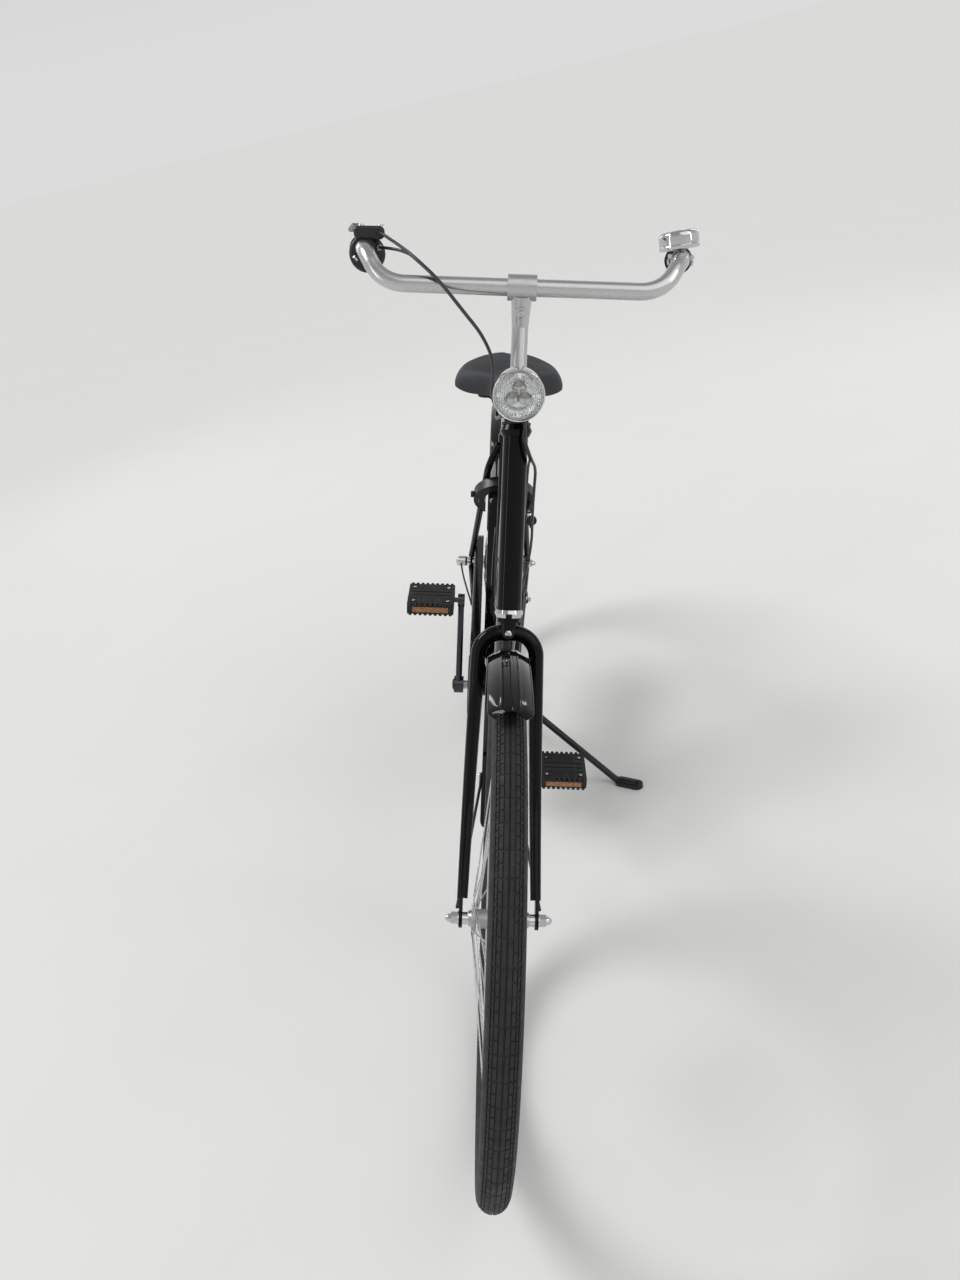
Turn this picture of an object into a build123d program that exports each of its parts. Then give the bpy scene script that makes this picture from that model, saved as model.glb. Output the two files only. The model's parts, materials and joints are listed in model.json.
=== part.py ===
from build123d import *
import os
from math import atan2, cos, degrees, pi, radians, sin, sqrt, tan

# Step-through city bicycle, leaning on its side stand.
# It is drawn upright, in millimetres: x to the rider's left, y to the rear, z up,
# with the origin where the front tyre meets the ground. The last section leans it.

# Wheels
RIM_OUTER_RADIUS = 318
RIM_DEPTH = 21
RIM_INNER_RADIUS = RIM_OUTER_RADIUS - RIM_DEPTH
TYRE_HEIGHT = 34
TYRE_RADIUS = RIM_OUTER_RADIUS + TYRE_HEIGHT
TYRE_WIDTH = 42
RIM_WIDTH = 25
RIM_BASE_WIDTH = 13
BEAD_WIDTH = 19.6
BEAD_DEPTH = 7
SPOKE_DIAMETER = 2
SPOKES_PER_FAMILY = 9
SPOKE_LACING = 60
SPOKE_GAP = 0.2
SPOKE_EDGE_RISE = 1.2
AXLE_DIAMETER = 9.5

# Front hub and its ends
FRONT_OVER_LOCKNUTS = 100
FRONT_FLANGE_X = 33
FRONT_FLANGE_DIAMETER = 42
FLANGE_THICKNESS = 3
HUB_BODY_DIAMETER = 26
HUB_RUNNING_GAP = 0.5
LOCKNUT_WIDTH = 7.5
LOCKNUT_DIAMETER = 17
WASHER_THICKNESS = 1.6
WASHER_DIAMETER = 19
NUT_ACROSS_FLATS = 15
NUT_HEIGHT = 9
NUT_CAP_HEIGHT = 9

# Rear hub and its ends
REAR_OVER_LOCKNUTS = 126
REAR_FLANGE_X = 30
REAR_FLANGE_DIAMETER = 82
REAR_BODY_DIAMETER = 62
BRAKE_DRUM_DIAMETER = 96
BRAKE_DRUM_WIDTH = 20
BRAKE_ARM_THICKNESS = 4
BRAKE_LEVER_THICKNESS = 2.4
BRAKE_BARREL_DIAMETER = 10
BRAKE_BARREL_LENGTH = 8
BRAKE_CABLE_END = (57, 1056, 381)

# Steering
HEAD_ANGLE = 66.9
FORK_RAKE = 70
CROWN_OVER_TYRE = 39
CROWN_HEIGHT = TYRE_RADIUS + CROWN_OVER_TYRE
HEAD_TUBE_OVER_CROWN = 33
HEAD_TUBE_LOW = CROWN_HEIGHT + HEAD_TUBE_OVER_CROWN
HEAD_TUBE_LENGTH = 237
HEAD_TUBE_HIGH = HEAD_TUBE_LOW + HEAD_TUBE_LENGTH
HEAD_TUBE_DIAMETER = 34
HEAD_TUBE_BORE = 30
STEERER_DIAMETER = 25.4
STEERER_GAP = 0.6
LOWER_RING_HEIGHT = 11
LOWER_RING_DIAMETER = 40
UPPER_CUP_HEIGHT = 15
UPPER_CUP_DIAMETER = 44
LOCKNUT_HEIGHT = 12
BRACKET_PLATE = 3
HEADSET_GAP = 0.4

# Fork
BLADE_TOP_X = 39.5
BLADE_END_X = 51
BLADE_TOP_DIAMETER = 22.4
BLADE_END_DIAMETER = 15
CROWN_BEND_RADIUS = 33
BLADE_CURVE_START = 150
BLADE_CURVE_RADIUS = 420
BLADE_END_ABOVE_AXLE = 24
DROPOUT_THICKNESS = 5
DROPOUT_DIAMETER = 26

# Stem and handlebar
STEM_DIAMETER = 22.2
STEM_EXTENSION = 25
BAR_OVER_HEAD_TUBE = 190
BAR_HEIGHT = HEAD_TUBE_HIGH + BAR_OVER_HEAD_TUBE
CLAMP_LENGTH = 38
CLAMP_DIAMETER = 33
BAR_DIAMETER = 22.2
BAR_STRAIGHT_HALF = 184.5
BAR_RISE_X = 211
BAR_RISE = 35.5
BAR_RISE_BACK = 37
BAR_LOWER_RADIUS = 50
BAR_UPPER_RADIUS = 50
BAR_END_X = 243
BAR_END_BACK = 270
BAR_END_DROP = 37.5
GRIP_LENGTH = 122
GRIP_DIAMETER = 33
GRIP_FLANGE_DIAMETER = 39
GRIP_CAP = 3
GRIP_GAP = 0.15

# Controls, each placed by its distance from the bar's end
SHIFTER_SLEEVE_LENGTH = 38
SHIFTER_SLEEVE_DIAMETER = 35
SHIFTER_DRUM_LENGTH = 26
SHIFTER_DRUM_DIAMETER = 50
SHIFTER_DRUM_OFFSET = (-5, -6)
LEVER_CLAMP_LENGTH = 14
LEVER_BLADE_LENGTH = 128
BELL_PLACE = 196
BELL_DIAMETER = 55
BELL_HEIGHT = 25
BELL_TILT = 12
BELL_SEAT = 13
CABLE_DIAMETER = 4.2
CABLE_ARC_SHARE = 0.45
CABLE_PAIR_OFFSET = (0, 5.5, -2.4)
CABLE_SPLIT = HEAD_TUBE_HIGH + 6
CABLE_SPLIT_FORWARD = 28.5
CABLE_SPLIT_SIDE = 11

# Headlight
HEADLIGHT_HEIGHT = HEAD_TUBE_HIGH + 45
HEADLIGHT_FORWARD = 72

# Frame
FRONT_TYRE_TO_BRACKET = 324
BRACKET_BACK = TYRE_RADIUS + FRONT_TYRE_TO_BRACKET
BRACKET_DROP = 59
BRACKET_HEIGHT = TYRE_RADIUS - BRACKET_DROP
REAR_TYRE_TO_BRACKET = 92
WHEELBASE = BRACKET_BACK + REAR_TYRE_TO_BRACKET + TYRE_RADIUS
SHELL_DIAMETER = 42
SHELL_HALF_WIDTH = 34
SEAT_ANGLE = 68
SEAT_TUBE_LENGTH = 496
SEAT_TUBE_DIAMETER = 28.6
SEAT_POST_DIAMETER = 25.4
SEAT_POST_SHOWN = 45
SEAT_COLLAR_DIAMETER = 34
SEAT_COLLAR_HEIGHT = 16
DOWN_TUBE_DIAMETER = 31.8
DOWN_TUBE_BEND_SHARE = 0.656
DOWN_TUBE_BOW = 80.7
DOWN_TUBE_BEND_RADIUS = 190
TOP_TUBE_DIAMETER = 31.8
TOP_TUBE_BEND_SHARE = 0.609
TOP_TUBE_BOW = 97
TOP_TUBE_BEND_RADIUS = 320
TOP_TUBE_JOIN = 170
CHAIN_STAY_DIAMETER = 18
CHAIN_STAY_END_DIAMETER = 13
SEAT_STAY_DIAMETER = 14
SEAT_STAY_BEND_RADIUS = 90
STAY_BRIDGE_X = 39
JOINT_GAP = 0.05

# Mudguards
GUARD_EDGE_RADIUS = TYRE_RADIUS + 10
GUARD_THICKNESS = 1.6
GUARD_STAY_DIAMETER = 5
STAY_SEAT_GAP = 0.3
STAY_FOOT_RADIUS = 22
FRONT_GUARD_WIDTH = 52
REAR_GUARD_WIDTH = 58
GUARD_SAG = 11
GUARD_TOP_RADIUS = GUARD_EDGE_RADIUS + GUARD_SAG + GUARD_THICKNESS
GUARD_STRAP_DIAMETER = 14
FRONT_GUARD_FRONT = 5
FRONT_GUARD_REAR = 112
REAR_GUARD_FRONT = 98
REAR_GUARD_REAR = 104

# Cranks and pedals
CRANK_LENGTH = 170
CRANK_ANGLE = 24
CRANK_INNER_X = 69
CRANK_BOSS_THICKNESS = 19
CRANK_ARM_INNER_X = 72.5
CRANK_ARM_THICKNESS = 12.5
CRANK_ARM_WIDTH = 30
CRANK_ARM_END_WIDTH = 21
CRANK_BOSS_DIAMETER = 34
CRANK_EYE_DIAMETER = 26
SPINDLE_DIAMETER = 17
SPINDLE_GAP = 0.5
PEDAL_INNER_X = 93
PEDAL_WIDTH = 91
PEDAL_LENGTH = 90
PEDAL_THICKNESS = 25
PEDAL_NOTCH_WIDTH = 4
PEDAL_NOTCH_DEPTH = 5
PEDAL_NOTCH_PITCH = 11
PEDAL_GROOVE_PITCH = 14
PEDAL_AXLE_DIAMETER = 10

# Chain case
CASE_INNER_X = 38
CASE_OUTER_X = 58
CASE_WALL = 2
CASE_CLEARANCE = 1
CASE_SPINDLE_HOLE = 32
CASE_HUB_HOLE = 36
CASE_FRONT_RADIUS = 108
CASE_REAR_RADIUS = 62
CASE_EDGE_RADIUS = 6
CASE_DISC_DIAMETER = 120
CASE_DISC_RISE = 2

# Side stand
STAND_PIVOT = (42, BRACKET_BACK + 26, BRACKET_HEIGHT - 47)
STAND_LEG_DIAMETER = 14
STAND_BEND_ON_GROUND = (271, BRACKET_BACK - 9)
STAND_FOOT_ON_GROUND = (312, BRACKET_BACK - 33)
STAND_FOLDED_DIRECTION = (0.05, 0.995, 0.05)
STAND_BARREL_LENGTH = 22
STAND_BARREL_DIAMETER = 25
STAND_PIN_DIAMETER = 8
STAND_CHEEK_GAP = 0.5
STAND_CHEEK_THICKNESS = 5
STAND_FOOT_LENGTH = 62
STAND_FOOT_WIDTH = 25
STAND_FOOT_THICKNESS = 8
STAND_FOOT_SLOT = 8

# Saddle
SADDLE_WIDTH = 214
SADDLE_NOSE_AHEAD = 148
SADDLE_REAR_BEHIND = 112
SADDLE_NOSE_RADIUS = 24
SADDLE_WAIST_RADIUS = 44
SADDLE_REAR_RADIUS = 52
SADDLE_RISE = 30
SADDLE_PAN_THICKNESS = 9
SADDLE_CUSHION_HEIGHT = 46
SADDLE_CROWN_RADIUS = 175
SADDLE_EDGE_RADIUS = 14
SADDLE_BUFFER_DIAMETER = 28

# Rear lamp
REAR_LAMP_ANGLE = 62
REAR_LAMP_WIDTH = 52
REAR_LAMP_HEIGHT = 34
REAR_LAMP_DEPTH = 22
REAR_LAMP_CORNER = 10
LAMP_SEAT_GAP = 0.3

# Ring lock
LOCK_RADIUS = TYRE_RADIUS - 14
LOCK_WIDTH = 124
LOCK_BAND = 22
LOCK_THICKNESS = 20

# Parked pose
LEAN = 13.7
TYRE_LIFT = TYRE_WIDTH / 2 * (1 - cos(radians(LEAN)))

BASE = (Align.CENTER, Align.CENTER, Align.MIN)
SIDES = {"left": 1, "right": -1}
DROPOUT_EYE = (WHEELBASE + 6, TYRE_RADIUS + 28)
CARRIER_EYE_DIAMETER = 5
FRONT_AXLE = (0, 0, TYRE_RADIUS)
REAR_AXLE = (0, WHEELBASE, TYRE_RADIUS)
BRACKET = (0, BRACKET_BACK, BRACKET_HEIGHT)

nodes = {}


# Helpers for places and simple solids

def steering_point(height, forward=0, side=0):
    """A point given by its height along the steering axis and its offset in front of it."""
    slope = radians(HEAD_ANGLE)
    foot_y = FORK_RAKE * sin(slope)
    foot_z = TYRE_RADIUS - FORK_RAKE * cos(slope)
    y = foot_y + height * cos(slope) - forward * sin(slope)
    z = foot_z + height * sin(slope) + forward * cos(slope)
    return (side, y, z)


def seat_point(length, side=0):
    """A point on the seat tube's line, measured up from the bracket."""
    slope = radians(SEAT_ANGLE)
    return (side, BRACKET_BACK + length * cos(slope), BRACKET_HEIGHT + length * sin(slope))


def wheel_point(axle, radius, angle, side=0):
    """A point beside a wheel, at an angle back from straight up."""
    turn = radians(angle)
    return (side, axle[1] + radius * sin(turn), axle[2] + radius * cos(turn))


def between(a, b, share):
    return tuple(p + (q - p) * share for p, q in zip(a, b))


def bowed(a, b, share, bow):
    """A point at a share of the way from a down to b, pushed out square to their line in side view."""
    middle = between(a, b, share)
    run_y, run_z = b[1] - a[1], b[2] - a[2]
    length = sqrt(run_y ** 2 + run_z ** 2)
    return (middle[0], middle[1] + bow * run_z / length, middle[2] - bow * run_y / length)


def facing(a, b):
    return Plane(origin=a, z_dir=Vector(*b) - Vector(*a))


def rod(a, b, diameter, end_diameter=None):
    """A round bar from a to b, tapered if it has an end diameter."""
    length = (Vector(*b) - Vector(*a)).length
    if end_diameter is None:
        return facing(a, b) * Cylinder(diameter / 2, length, align=BASE)
    return facing(a, b) * Cone(diameter / 2, end_diameter / 2, length, align=BASE)


def bent_tube(points, radii, diameter):
    """A round tube along straight runs joined by tangent arcs."""
    path = FilletPolyline(*points, radius=radii)
    section = Plane(origin=path @ 0, z_dir=path % 0) * Circle(diameter / 2)
    return sweep(section, path=path)


def across(axle, x_from, x_to, diameter):
    """A disc or bar about an axle, between two places across the bicycle."""
    return rod((x_from, axle[1], axle[2]), (x_to, axle[1], axle[2]), diameter)


def ring_across(axle, x_from, x_to, diameter, bore):
    return across(axle, x_from, x_to, diameter) - across(axle, x_from - 1, x_to + 1, bore)


def spun(axle, profile_points):
    """A solid of revolution about an axle, from points (across, radius)."""
    outline = Polyline(*[(x, axle[1], axle[2] + r) for x, r in profile_points], close=True)
    return revolve(make_face(outline), axis=Axis(axle, (1, 0, 0)))


def hexagon(axle, x_from, x_to, across_flats):
    plane = Plane(origin=(x_from, axle[1], axle[2]), x_dir=(0, 1, 0), z_dir=(1, 0, 0))
    sketch = plane * RegularPolygon(across_flats / 2, 6, major_radius=False)
    return extrude(sketch, amount=x_to - x_from)


# Wheels

def tyre(axle):
    half_bead = BEAD_WIDTH / 2
    section_radius = TYRE_WIDTH / 2
    centre_radius = TYRE_RADIUS - section_radius
    seat = RIM_OUTER_RADIUS + SPOKE_GAP
    half_seat = sqrt(section_radius ** 2 - (centre_radius - seat) ** 2)
    bead_radius = RIM_OUTER_RADIUS - BEAD_DEPTH + SPOKE_GAP

    def at(x, r):
        return (x, axle[1], axle[2] + r)

    outline = ThreePointArc(at(-half_seat, seat), at(0, TYRE_RADIUS), at(half_seat, seat))
    outline += Polyline(
        at(half_seat, seat), at(half_bead, seat), at(half_bead, bead_radius),
        at(-half_bead, bead_radius), at(-half_bead, seat), at(-half_seat, seat),
    )
    return revolve(make_face(outline), axis=Axis(axle, (1, 0, 0)))


def rim(axle):
    half = RIM_WIDTH / 2
    base = RIM_BASE_WIDTH / 2
    lip = BEAD_WIDTH / 2 + SPOKE_GAP
    bed = RIM_OUTER_RADIUS - BEAD_DEPTH
    shoulder = bed - 3
    right = [(base, RIM_INNER_RADIUS), (half, shoulder), (half, RIM_OUTER_RADIUS),
             (lip, RIM_OUTER_RADIUS), (lip, bed)]
    left = [(-x, r) for x, r in reversed(right)]
    return spun(axle, right + left)


def spokes(axle, flange_x, flange_diameter):
    """Tangent spokes: on each side one family leans forward and one back, clear of each other."""
    hub_radius = flange_diameter / 2 - 4
    rim_radius = RIM_INNER_RADIUS - SPOKE_GAP
    off_flange = FLANGE_THICKNESS / 2 + SPOKE_DIAMETER / 2 + SPOKE_GAP
    over_edge = off_flange + SPOKE_EDGE_RISE
    step = 360 / SPOKES_PER_FAMILY
    # lean of the family, its place on the flange's outer or inner face, place at the rim
    families = [(1, over_edge, 5.2), (-1, -off_flange, 1.2)]
    solids = []
    for side_index, side in enumerate((1, -1)):
        for family_index, (lean, face, rim_x) in enumerate(families):
            for number in range(SPOKES_PER_FAMILY):
                hub_angle = number * step + family_index * step / 2 + side_index * step / 4
                a = wheel_point(axle, hub_radius, hub_angle, side * (flange_x + face))
                b = wheel_point(axle, rim_radius, hub_angle + lean * SPOKE_LACING, side * rim_x)
                solids.append(rod(a, b, SPOKE_DIAMETER))
    return Compound(children=solids)


def hub(axle, flange_x, flange_diameter, body_diameter, end_x, bore):
    flange_in = flange_x - FLANGE_THICKNESS / 2
    flange_out = flange_x + FLANGE_THICKNESS / 2
    profile = [
        (end_x, bore / 2), (end_x, 10), (flange_out, body_diameter / 2),
        (flange_out, flange_diameter / 2), (flange_in, flange_diameter / 2),
        (flange_in, body_diameter / 2),
    ]
    mirrored = [(-x, r) for x, r in reversed(profile)]
    return spun(axle, profile + mirrored)


def make_wheels():
    bore = AXLE_DIAMETER + 2 * HUB_RUNNING_GAP
    front_end = FRONT_OVER_LOCKNUTS / 2 - LOCKNUT_WIDTH - HUB_RUNNING_GAP
    rear_end = REAR_FLANGE_X + FLANGE_THICKNESS / 2 + 4
    for name, axle in (("front", FRONT_AXLE), ("rear", REAR_AXLE)):
        nodes[f"{name}_tyre"] = tyre(axle)
        nodes[f"{name}_rim"] = rim(axle)
    nodes["front_spokes"] = spokes(FRONT_AXLE, FRONT_FLANGE_X, FRONT_FLANGE_DIAMETER)
    nodes["rear_spokes"] = spokes(REAR_AXLE, REAR_FLANGE_X, REAR_FLANGE_DIAMETER)
    nodes["front_hub"] = hub(FRONT_AXLE, FRONT_FLANGE_X, FRONT_FLANGE_DIAMETER,
                             HUB_BODY_DIAMETER, front_end, bore)
    nodes["rear_hub"] = hub(REAR_AXLE, REAR_FLANGE_X, REAR_FLANGE_DIAMETER,
                            REAR_BODY_DIAMETER, rear_end, bore)


# Front fork, its axle and the headset

def blade(side):
    start = steering_point(CROWN_HEIGHT)
    bend = steering_point(CROWN_HEIGHT, 0, side * BLADE_TOP_X)
    curve = steering_point(BLADE_CURVE_START, 0, side * (BLADE_END_X - 3))
    low_share = 1 - BLADE_END_ABOVE_AXLE / BLADE_CURVE_START
    low_forward = FORK_RAKE * low_share
    end = steering_point(BLADE_END_ABOVE_AXLE, low_forward, side * BLADE_END_X)
    path = FilletPolyline(start, bend, curve, end, radius=(CROWN_BEND_RADIUS, BLADE_CURVE_RADIUS))
    top = Plane(origin=path @ 0, z_dir=path % 0) * Circle(BLADE_TOP_DIAMETER / 2)
    low = Plane(origin=path @ 1, z_dir=path % 1) * Circle(BLADE_END_DIAMETER / 2)
    return sweep([top, low], path=path, multisection=True), end


def fork_dropout(side, blade_end):
    inner = FRONT_OVER_LOCKNUTS / 2
    x_from = min(side * inner, side * (inner + DROPOUT_THICKNESS))
    x_to = x_from + DROPOUT_THICKNESS
    eye = across(FRONT_AXLE, x_from, x_to, DROPOUT_DIAMETER)
    eye -= across(FRONT_AXLE, x_from - 1, x_to + 1, AXLE_DIAMETER)
    direction = Vector(0, blade_end[1], blade_end[2] - TYRE_RADIUS)
    reach = direction.length
    plane = Plane(origin=(x_from, 0, TYRE_RADIUS), x_dir=direction, z_dir=(1, 0, 0))
    foot = DROPOUT_DIAMETER / 2 - 2
    top = BLADE_END_DIAMETER / 2 - 0.5
    outline = Polyline((8, -foot), (reach + 6, -top), (reach + 6, top), (8, foot), close=True)
    tongue = extrude(plane * make_face(outline), amount=DROPOUT_THICKNESS)
    return eye + tongue


def make_fork():
    steerer_top = steering_point(HEAD_TUBE_HIGH + UPPER_CUP_HEIGHT + HEADSET_GAP)
    body = rod(steering_point(CROWN_HEIGHT), steerer_top, STEERER_DIAMETER)
    crown_seat = HEAD_TUBE_LOW - LOWER_RING_HEIGHT - HEADSET_GAP
    body += rod(steering_point(crown_seat - 6), steering_point(crown_seat), 33)
    for side in SIDES.values():
        tube, end = blade(side)
        body += tube
        body += fork_dropout(side, end)
    nodes["fork"] = body

    inner = FRONT_OVER_LOCKNUTS / 2
    plate_out = inner + DROPOUT_THICKNESS
    tip = plate_out + WASHER_THICKNESS + NUT_HEIGHT
    axle = across(FRONT_AXLE, -tip, tip, AXLE_DIAMETER)
    nuts = []
    for side in SIDES.values():
        cone_from, cone_to = sorted((side * (inner - LOCKNUT_WIDTH), side * inner))
        axle += across(FRONT_AXLE, cone_from, cone_to, LOCKNUT_DIAMETER)
        nuts.append(axle_nut(FRONT_AXLE, side, plate_out))
    nodes["front_axle"] = Compound(children=[axle] + nuts)


def axle_nut(axle, side, seat_x):
    """Washer, hexagon nut and domed cap, outward from a dropout's face."""
    washer_out = seat_x + WASHER_THICKNESS
    hex_out = washer_out + NUT_HEIGHT
    cap_out = hex_out + NUT_CAP_HEIGHT
    radius = NUT_ACROSS_FLATS / 2 - 1
    flat = [(seat_x, 0), (seat_x, WASHER_DIAMETER / 2), (washer_out, WASHER_DIAMETER / 2),
            (washer_out, radius), (hex_out, radius), (hex_out + 4, radius - 0.8),
            (hex_out + 7.5, radius - 3.2), (cap_out, 0)]
    if side < 0:
        flat = [(-x, r) for x, r in flat]
    solid = spun(axle, flat)
    x_from, x_to = sorted((side * washer_out, side * hex_out))
    solid += hexagon(axle, x_from, x_to, NUT_ACROSS_FLATS)
    return solid - across(axle, -hex_out, hex_out, AXLE_DIAMETER)


def make_headset():
    ring_low = HEAD_TUBE_LOW - LOWER_RING_HEIGHT
    cup_high = HEAD_TUBE_HIGH + UPPER_CUP_HEIGHT
    bore = STEERER_DIAMETER + 2 * STEERER_GAP
    a = steering_point(HEAD_TUBE_LOW)
    b = steering_point(HEAD_TUBE_HIGH)
    nodes["head_tube"] = rod(a, b, HEAD_TUBE_DIAMETER) - rod(
        steering_point(HEAD_TUBE_LOW - 1), steering_point(HEAD_TUBE_HIGH + 1), HEAD_TUBE_BORE)
    low_half = HEAD_TUBE_LOW - LOWER_RING_HEIGHT * 0.45
    ring = rod(steering_point(ring_low), steering_point(low_half), 34, LOWER_RING_DIAMETER)
    ring += rod(steering_point(low_half), a, LOWER_RING_DIAMETER, 37)
    nodes["headset_lower_ring"] = ring - rod(
        steering_point(ring_low - 1), steering_point(HEAD_TUBE_LOW + 1), bore)
    cup_mid = HEAD_TUBE_HIGH + UPPER_CUP_HEIGHT * 0.5
    cup = rod(b, steering_point(cup_mid), 37, UPPER_CUP_DIAMETER)
    cup += rod(steering_point(cup_mid), steering_point(cup_high), UPPER_CUP_DIAMETER, 38)
    nodes["headset_upper_cup"] = cup - rod(
        steering_point(HEAD_TUBE_HIGH - 1), steering_point(cup_high + 1), bore)


# Stem, handlebar and what it carries

def make_stem():
    locknut_low = HEAD_TUBE_HIGH + UPPER_CUP_HEIGHT + HEADSET_GAP + BRACKET_PLATE + JOINT_GAP
    locknut_high = locknut_low + LOCKNUT_HEIGHT
    locknut = rod(steering_point(locknut_low), steering_point(locknut_high), 34)
    nodes["headset_locknut"] = locknut - rod(
        steering_point(locknut_low - 1), steering_point(locknut_high + 1), STEM_DIAMETER)
    quill_top = BAR_HEIGHT - 36
    body = rod(steering_point(locknut_low), steering_point(quill_top), STEM_DIAMETER)
    neck_top = steering_point(BAR_HEIGHT - 8, STEM_EXTENSION)
    body += rod(steering_point(quill_top - 8), neck_top, STEM_DIAMETER + 0.6, CLAMP_DIAMETER - 5)
    centre = steering_point(BAR_HEIGHT, STEM_EXTENSION)
    half = CLAMP_LENGTH / 2
    body += rod((-half, *centre[1:]), (half, *centre[1:]), CLAMP_DIAMETER)
    body -= rod((-half - 1, *centre[1:]), (half + 1, *centre[1:]), BAR_DIAMETER)
    nodes["stem"] = body


def bar_points():
    """Half of the handlebar's line, from its middle to its left end."""
    _, y, z = steering_point(BAR_HEIGHT, STEM_EXTENSION)
    return [(0, y, z), (BAR_STRAIGHT_HALF, y, z),
            (BAR_RISE_X, y + BAR_RISE_BACK, z + BAR_RISE),
            (BAR_END_X, y + BAR_END_BACK, z + BAR_RISE - BAR_END_DROP)]


def mirrored(point, side):
    return (side * point[0], point[1], point[2])


def bar_along(distance_from_end, side):
    """A point on the straight grip end of the bar."""
    elbow, end = bar_points()[2:]
    run = (Vector(*end) - Vector(*elbow)).length
    return mirrored(between(end, elbow, distance_from_end / run), side)


def bar_plane(distance_from_end, side):
    """A plane square to the bar's straight end: x to the rider's right, y up, z to the end."""
    near, far = bar_along(distance_from_end, side), bar_along(0, side)
    direction = Vector(*far) - Vector(*near)
    return Plane(origin=near, x_dir=Vector(0, 0, 1).cross(direction), z_dir=direction)


def make_handlebar():
    left = bar_points()
    right = [mirrored(p, -1) for p in reversed(left[1:])]
    radii = (BAR_UPPER_RADIUS, BAR_LOWER_RADIUS, BAR_LOWER_RADIUS, BAR_UPPER_RADIUS)
    nodes["handlebar"] = bent_tube(right + left[1:], radii, BAR_DIAMETER)
    inside = BAR_DIAMETER / 2 + GRIP_GAP
    outside = GRIP_DIAMETER / 2
    flange = GRIP_FLANGE_DIAMETER / 2
    stop = GRIP_LENGTH + GRIP_GAP
    end = GRIP_LENGTH + GRIP_CAP
    profile = [(inside, 0), (flange, 0), (flange, 3), (outside - 1, 7), (outside, GRIP_LENGTH - 12),
               (outside - 1.5, GRIP_LENGTH - 2), (outside - 5, end), (0, end), (0, stop), (inside, stop)]
    outline = Polyline(*[(r, 0, along) for r, along in profile], close=True)
    for name, side in SIDES.items():
        nodes[f"grip_{name}"] = bar_plane(GRIP_LENGTH, side) * revolve(make_face(outline), axis=Axis.Z)


def make_shifter():
    """A drum round the bar, off its centre, with the twist sleeve behind it."""
    side = SIDES["right"]
    sleeve_at = GRIP_LENGTH + 1 + SHIFTER_SLEEVE_LENGTH
    drum_at = sleeve_at + SHIFTER_DRUM_LENGTH
    drum_face = Pos(*SHIFTER_DRUM_OFFSET) * Circle(SHIFTER_DRUM_DIAMETER / 2)
    drum = extrude(drum_face, amount=SHIFTER_DRUM_LENGTH)
    drum = fillet(drum.edges(), 4)
    cable_nose = Pos(-21.5, 2, -10) * Cylinder(4, 14, align=BASE)
    body = bar_plane(drum_at, side) * (drum + cable_nose)
    sleeve = Cylinder(SHIFTER_SLEEVE_DIAMETER / 2, SHIFTER_SLEEVE_LENGTH, align=BASE)
    body += bar_plane(sleeve_at, side) * sleeve
    bore = BAR_DIAMETER + 2 * GRIP_GAP
    nodes["gear_shifter"] = body - rod(bar_along(drum_at + 14, side), bar_along(GRIP_LENGTH, side), bore)
    return drum_at


def make_brake_lever(drum_at):
    """A clamp band, the perch on top of it and a flat blade that follows the grip."""
    side = SIDES["right"]
    place = bar_plane(drum_at + 1 + LEVER_CLAMP_LENGTH, side)
    body = Cylinder(BAR_DIAMETER / 2 + 4.5, LEVER_CLAMP_LENGTH, align=BASE)
    perch = extrude(Pos(-8, 20.5) * RectangleRounded(42, 17, 7), amount=20.5)
    body += Pos(0, 0, -6) * fillet(perch.edges().group_by(Axis.Z)[0], 4)
    body += Pos(-23, 20, -15) * Cylinder(4.5, 12, align=BASE)
    blade_line = FilletPolyline((2, 24, 12), (9, 30, 40), (14, 27, 12 + LEVER_BLADE_LENGTH), radius=60)
    section = Plane(origin=blade_line @ 0, z_dir=blade_line % 0) * RectangleRounded(13, 7, 3)
    body += sweep(section, path=blade_line)
    bore = Pos(0, 0, -20) * Cylinder(BAR_DIAMETER / 2 + GRIP_GAP, 60, align=BASE)
    nodes["brake_lever"] = place * (body - bore)


def make_bell():
    """A low drum with a rounded top on a band, tipped towards the middle of the bicycle."""
    place = bar_plane(BELL_PLACE, SIDES["left"]) * Pos(0, 0, -6)
    band = Cylinder(BAR_DIAMETER / 2 + 2.2, 12, align=BASE)
    band -= Pos(0, 0, -1) * Cylinder(BAR_DIAMETER / 2 + GRIP_GAP, 14, align=BASE)
    tipped = Pos(0, 0, 6) * Rot(0, 0, -BELL_TILT) * Rot(-90, 0, 0)
    radius = BELL_DIAMETER / 2
    top = BELL_SEAT + BELL_HEIGHT
    dome_profile = [(0, BELL_SEAT), (radius - 1.5, BELL_SEAT), (radius, BELL_SEAT + 2),
                    (radius, top - 8), (radius - 2, top - 3.5), (radius - 7, top - 1), (0, top)]
    dome = revolve(make_face(Polyline(*[(r, 0, h) for r, h in dome_profile], close=True)), axis=Axis.Z)
    post = Pos(0, 0, BAR_DIAMETER / 2 + 1) * Cylinder(7, BELL_SEAT - BAR_DIAMETER / 2 - 1.1, align=BASE)
    nodes["bell"] = place * Compound(children=[tipped * dome, band + tipped * post])


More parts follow.
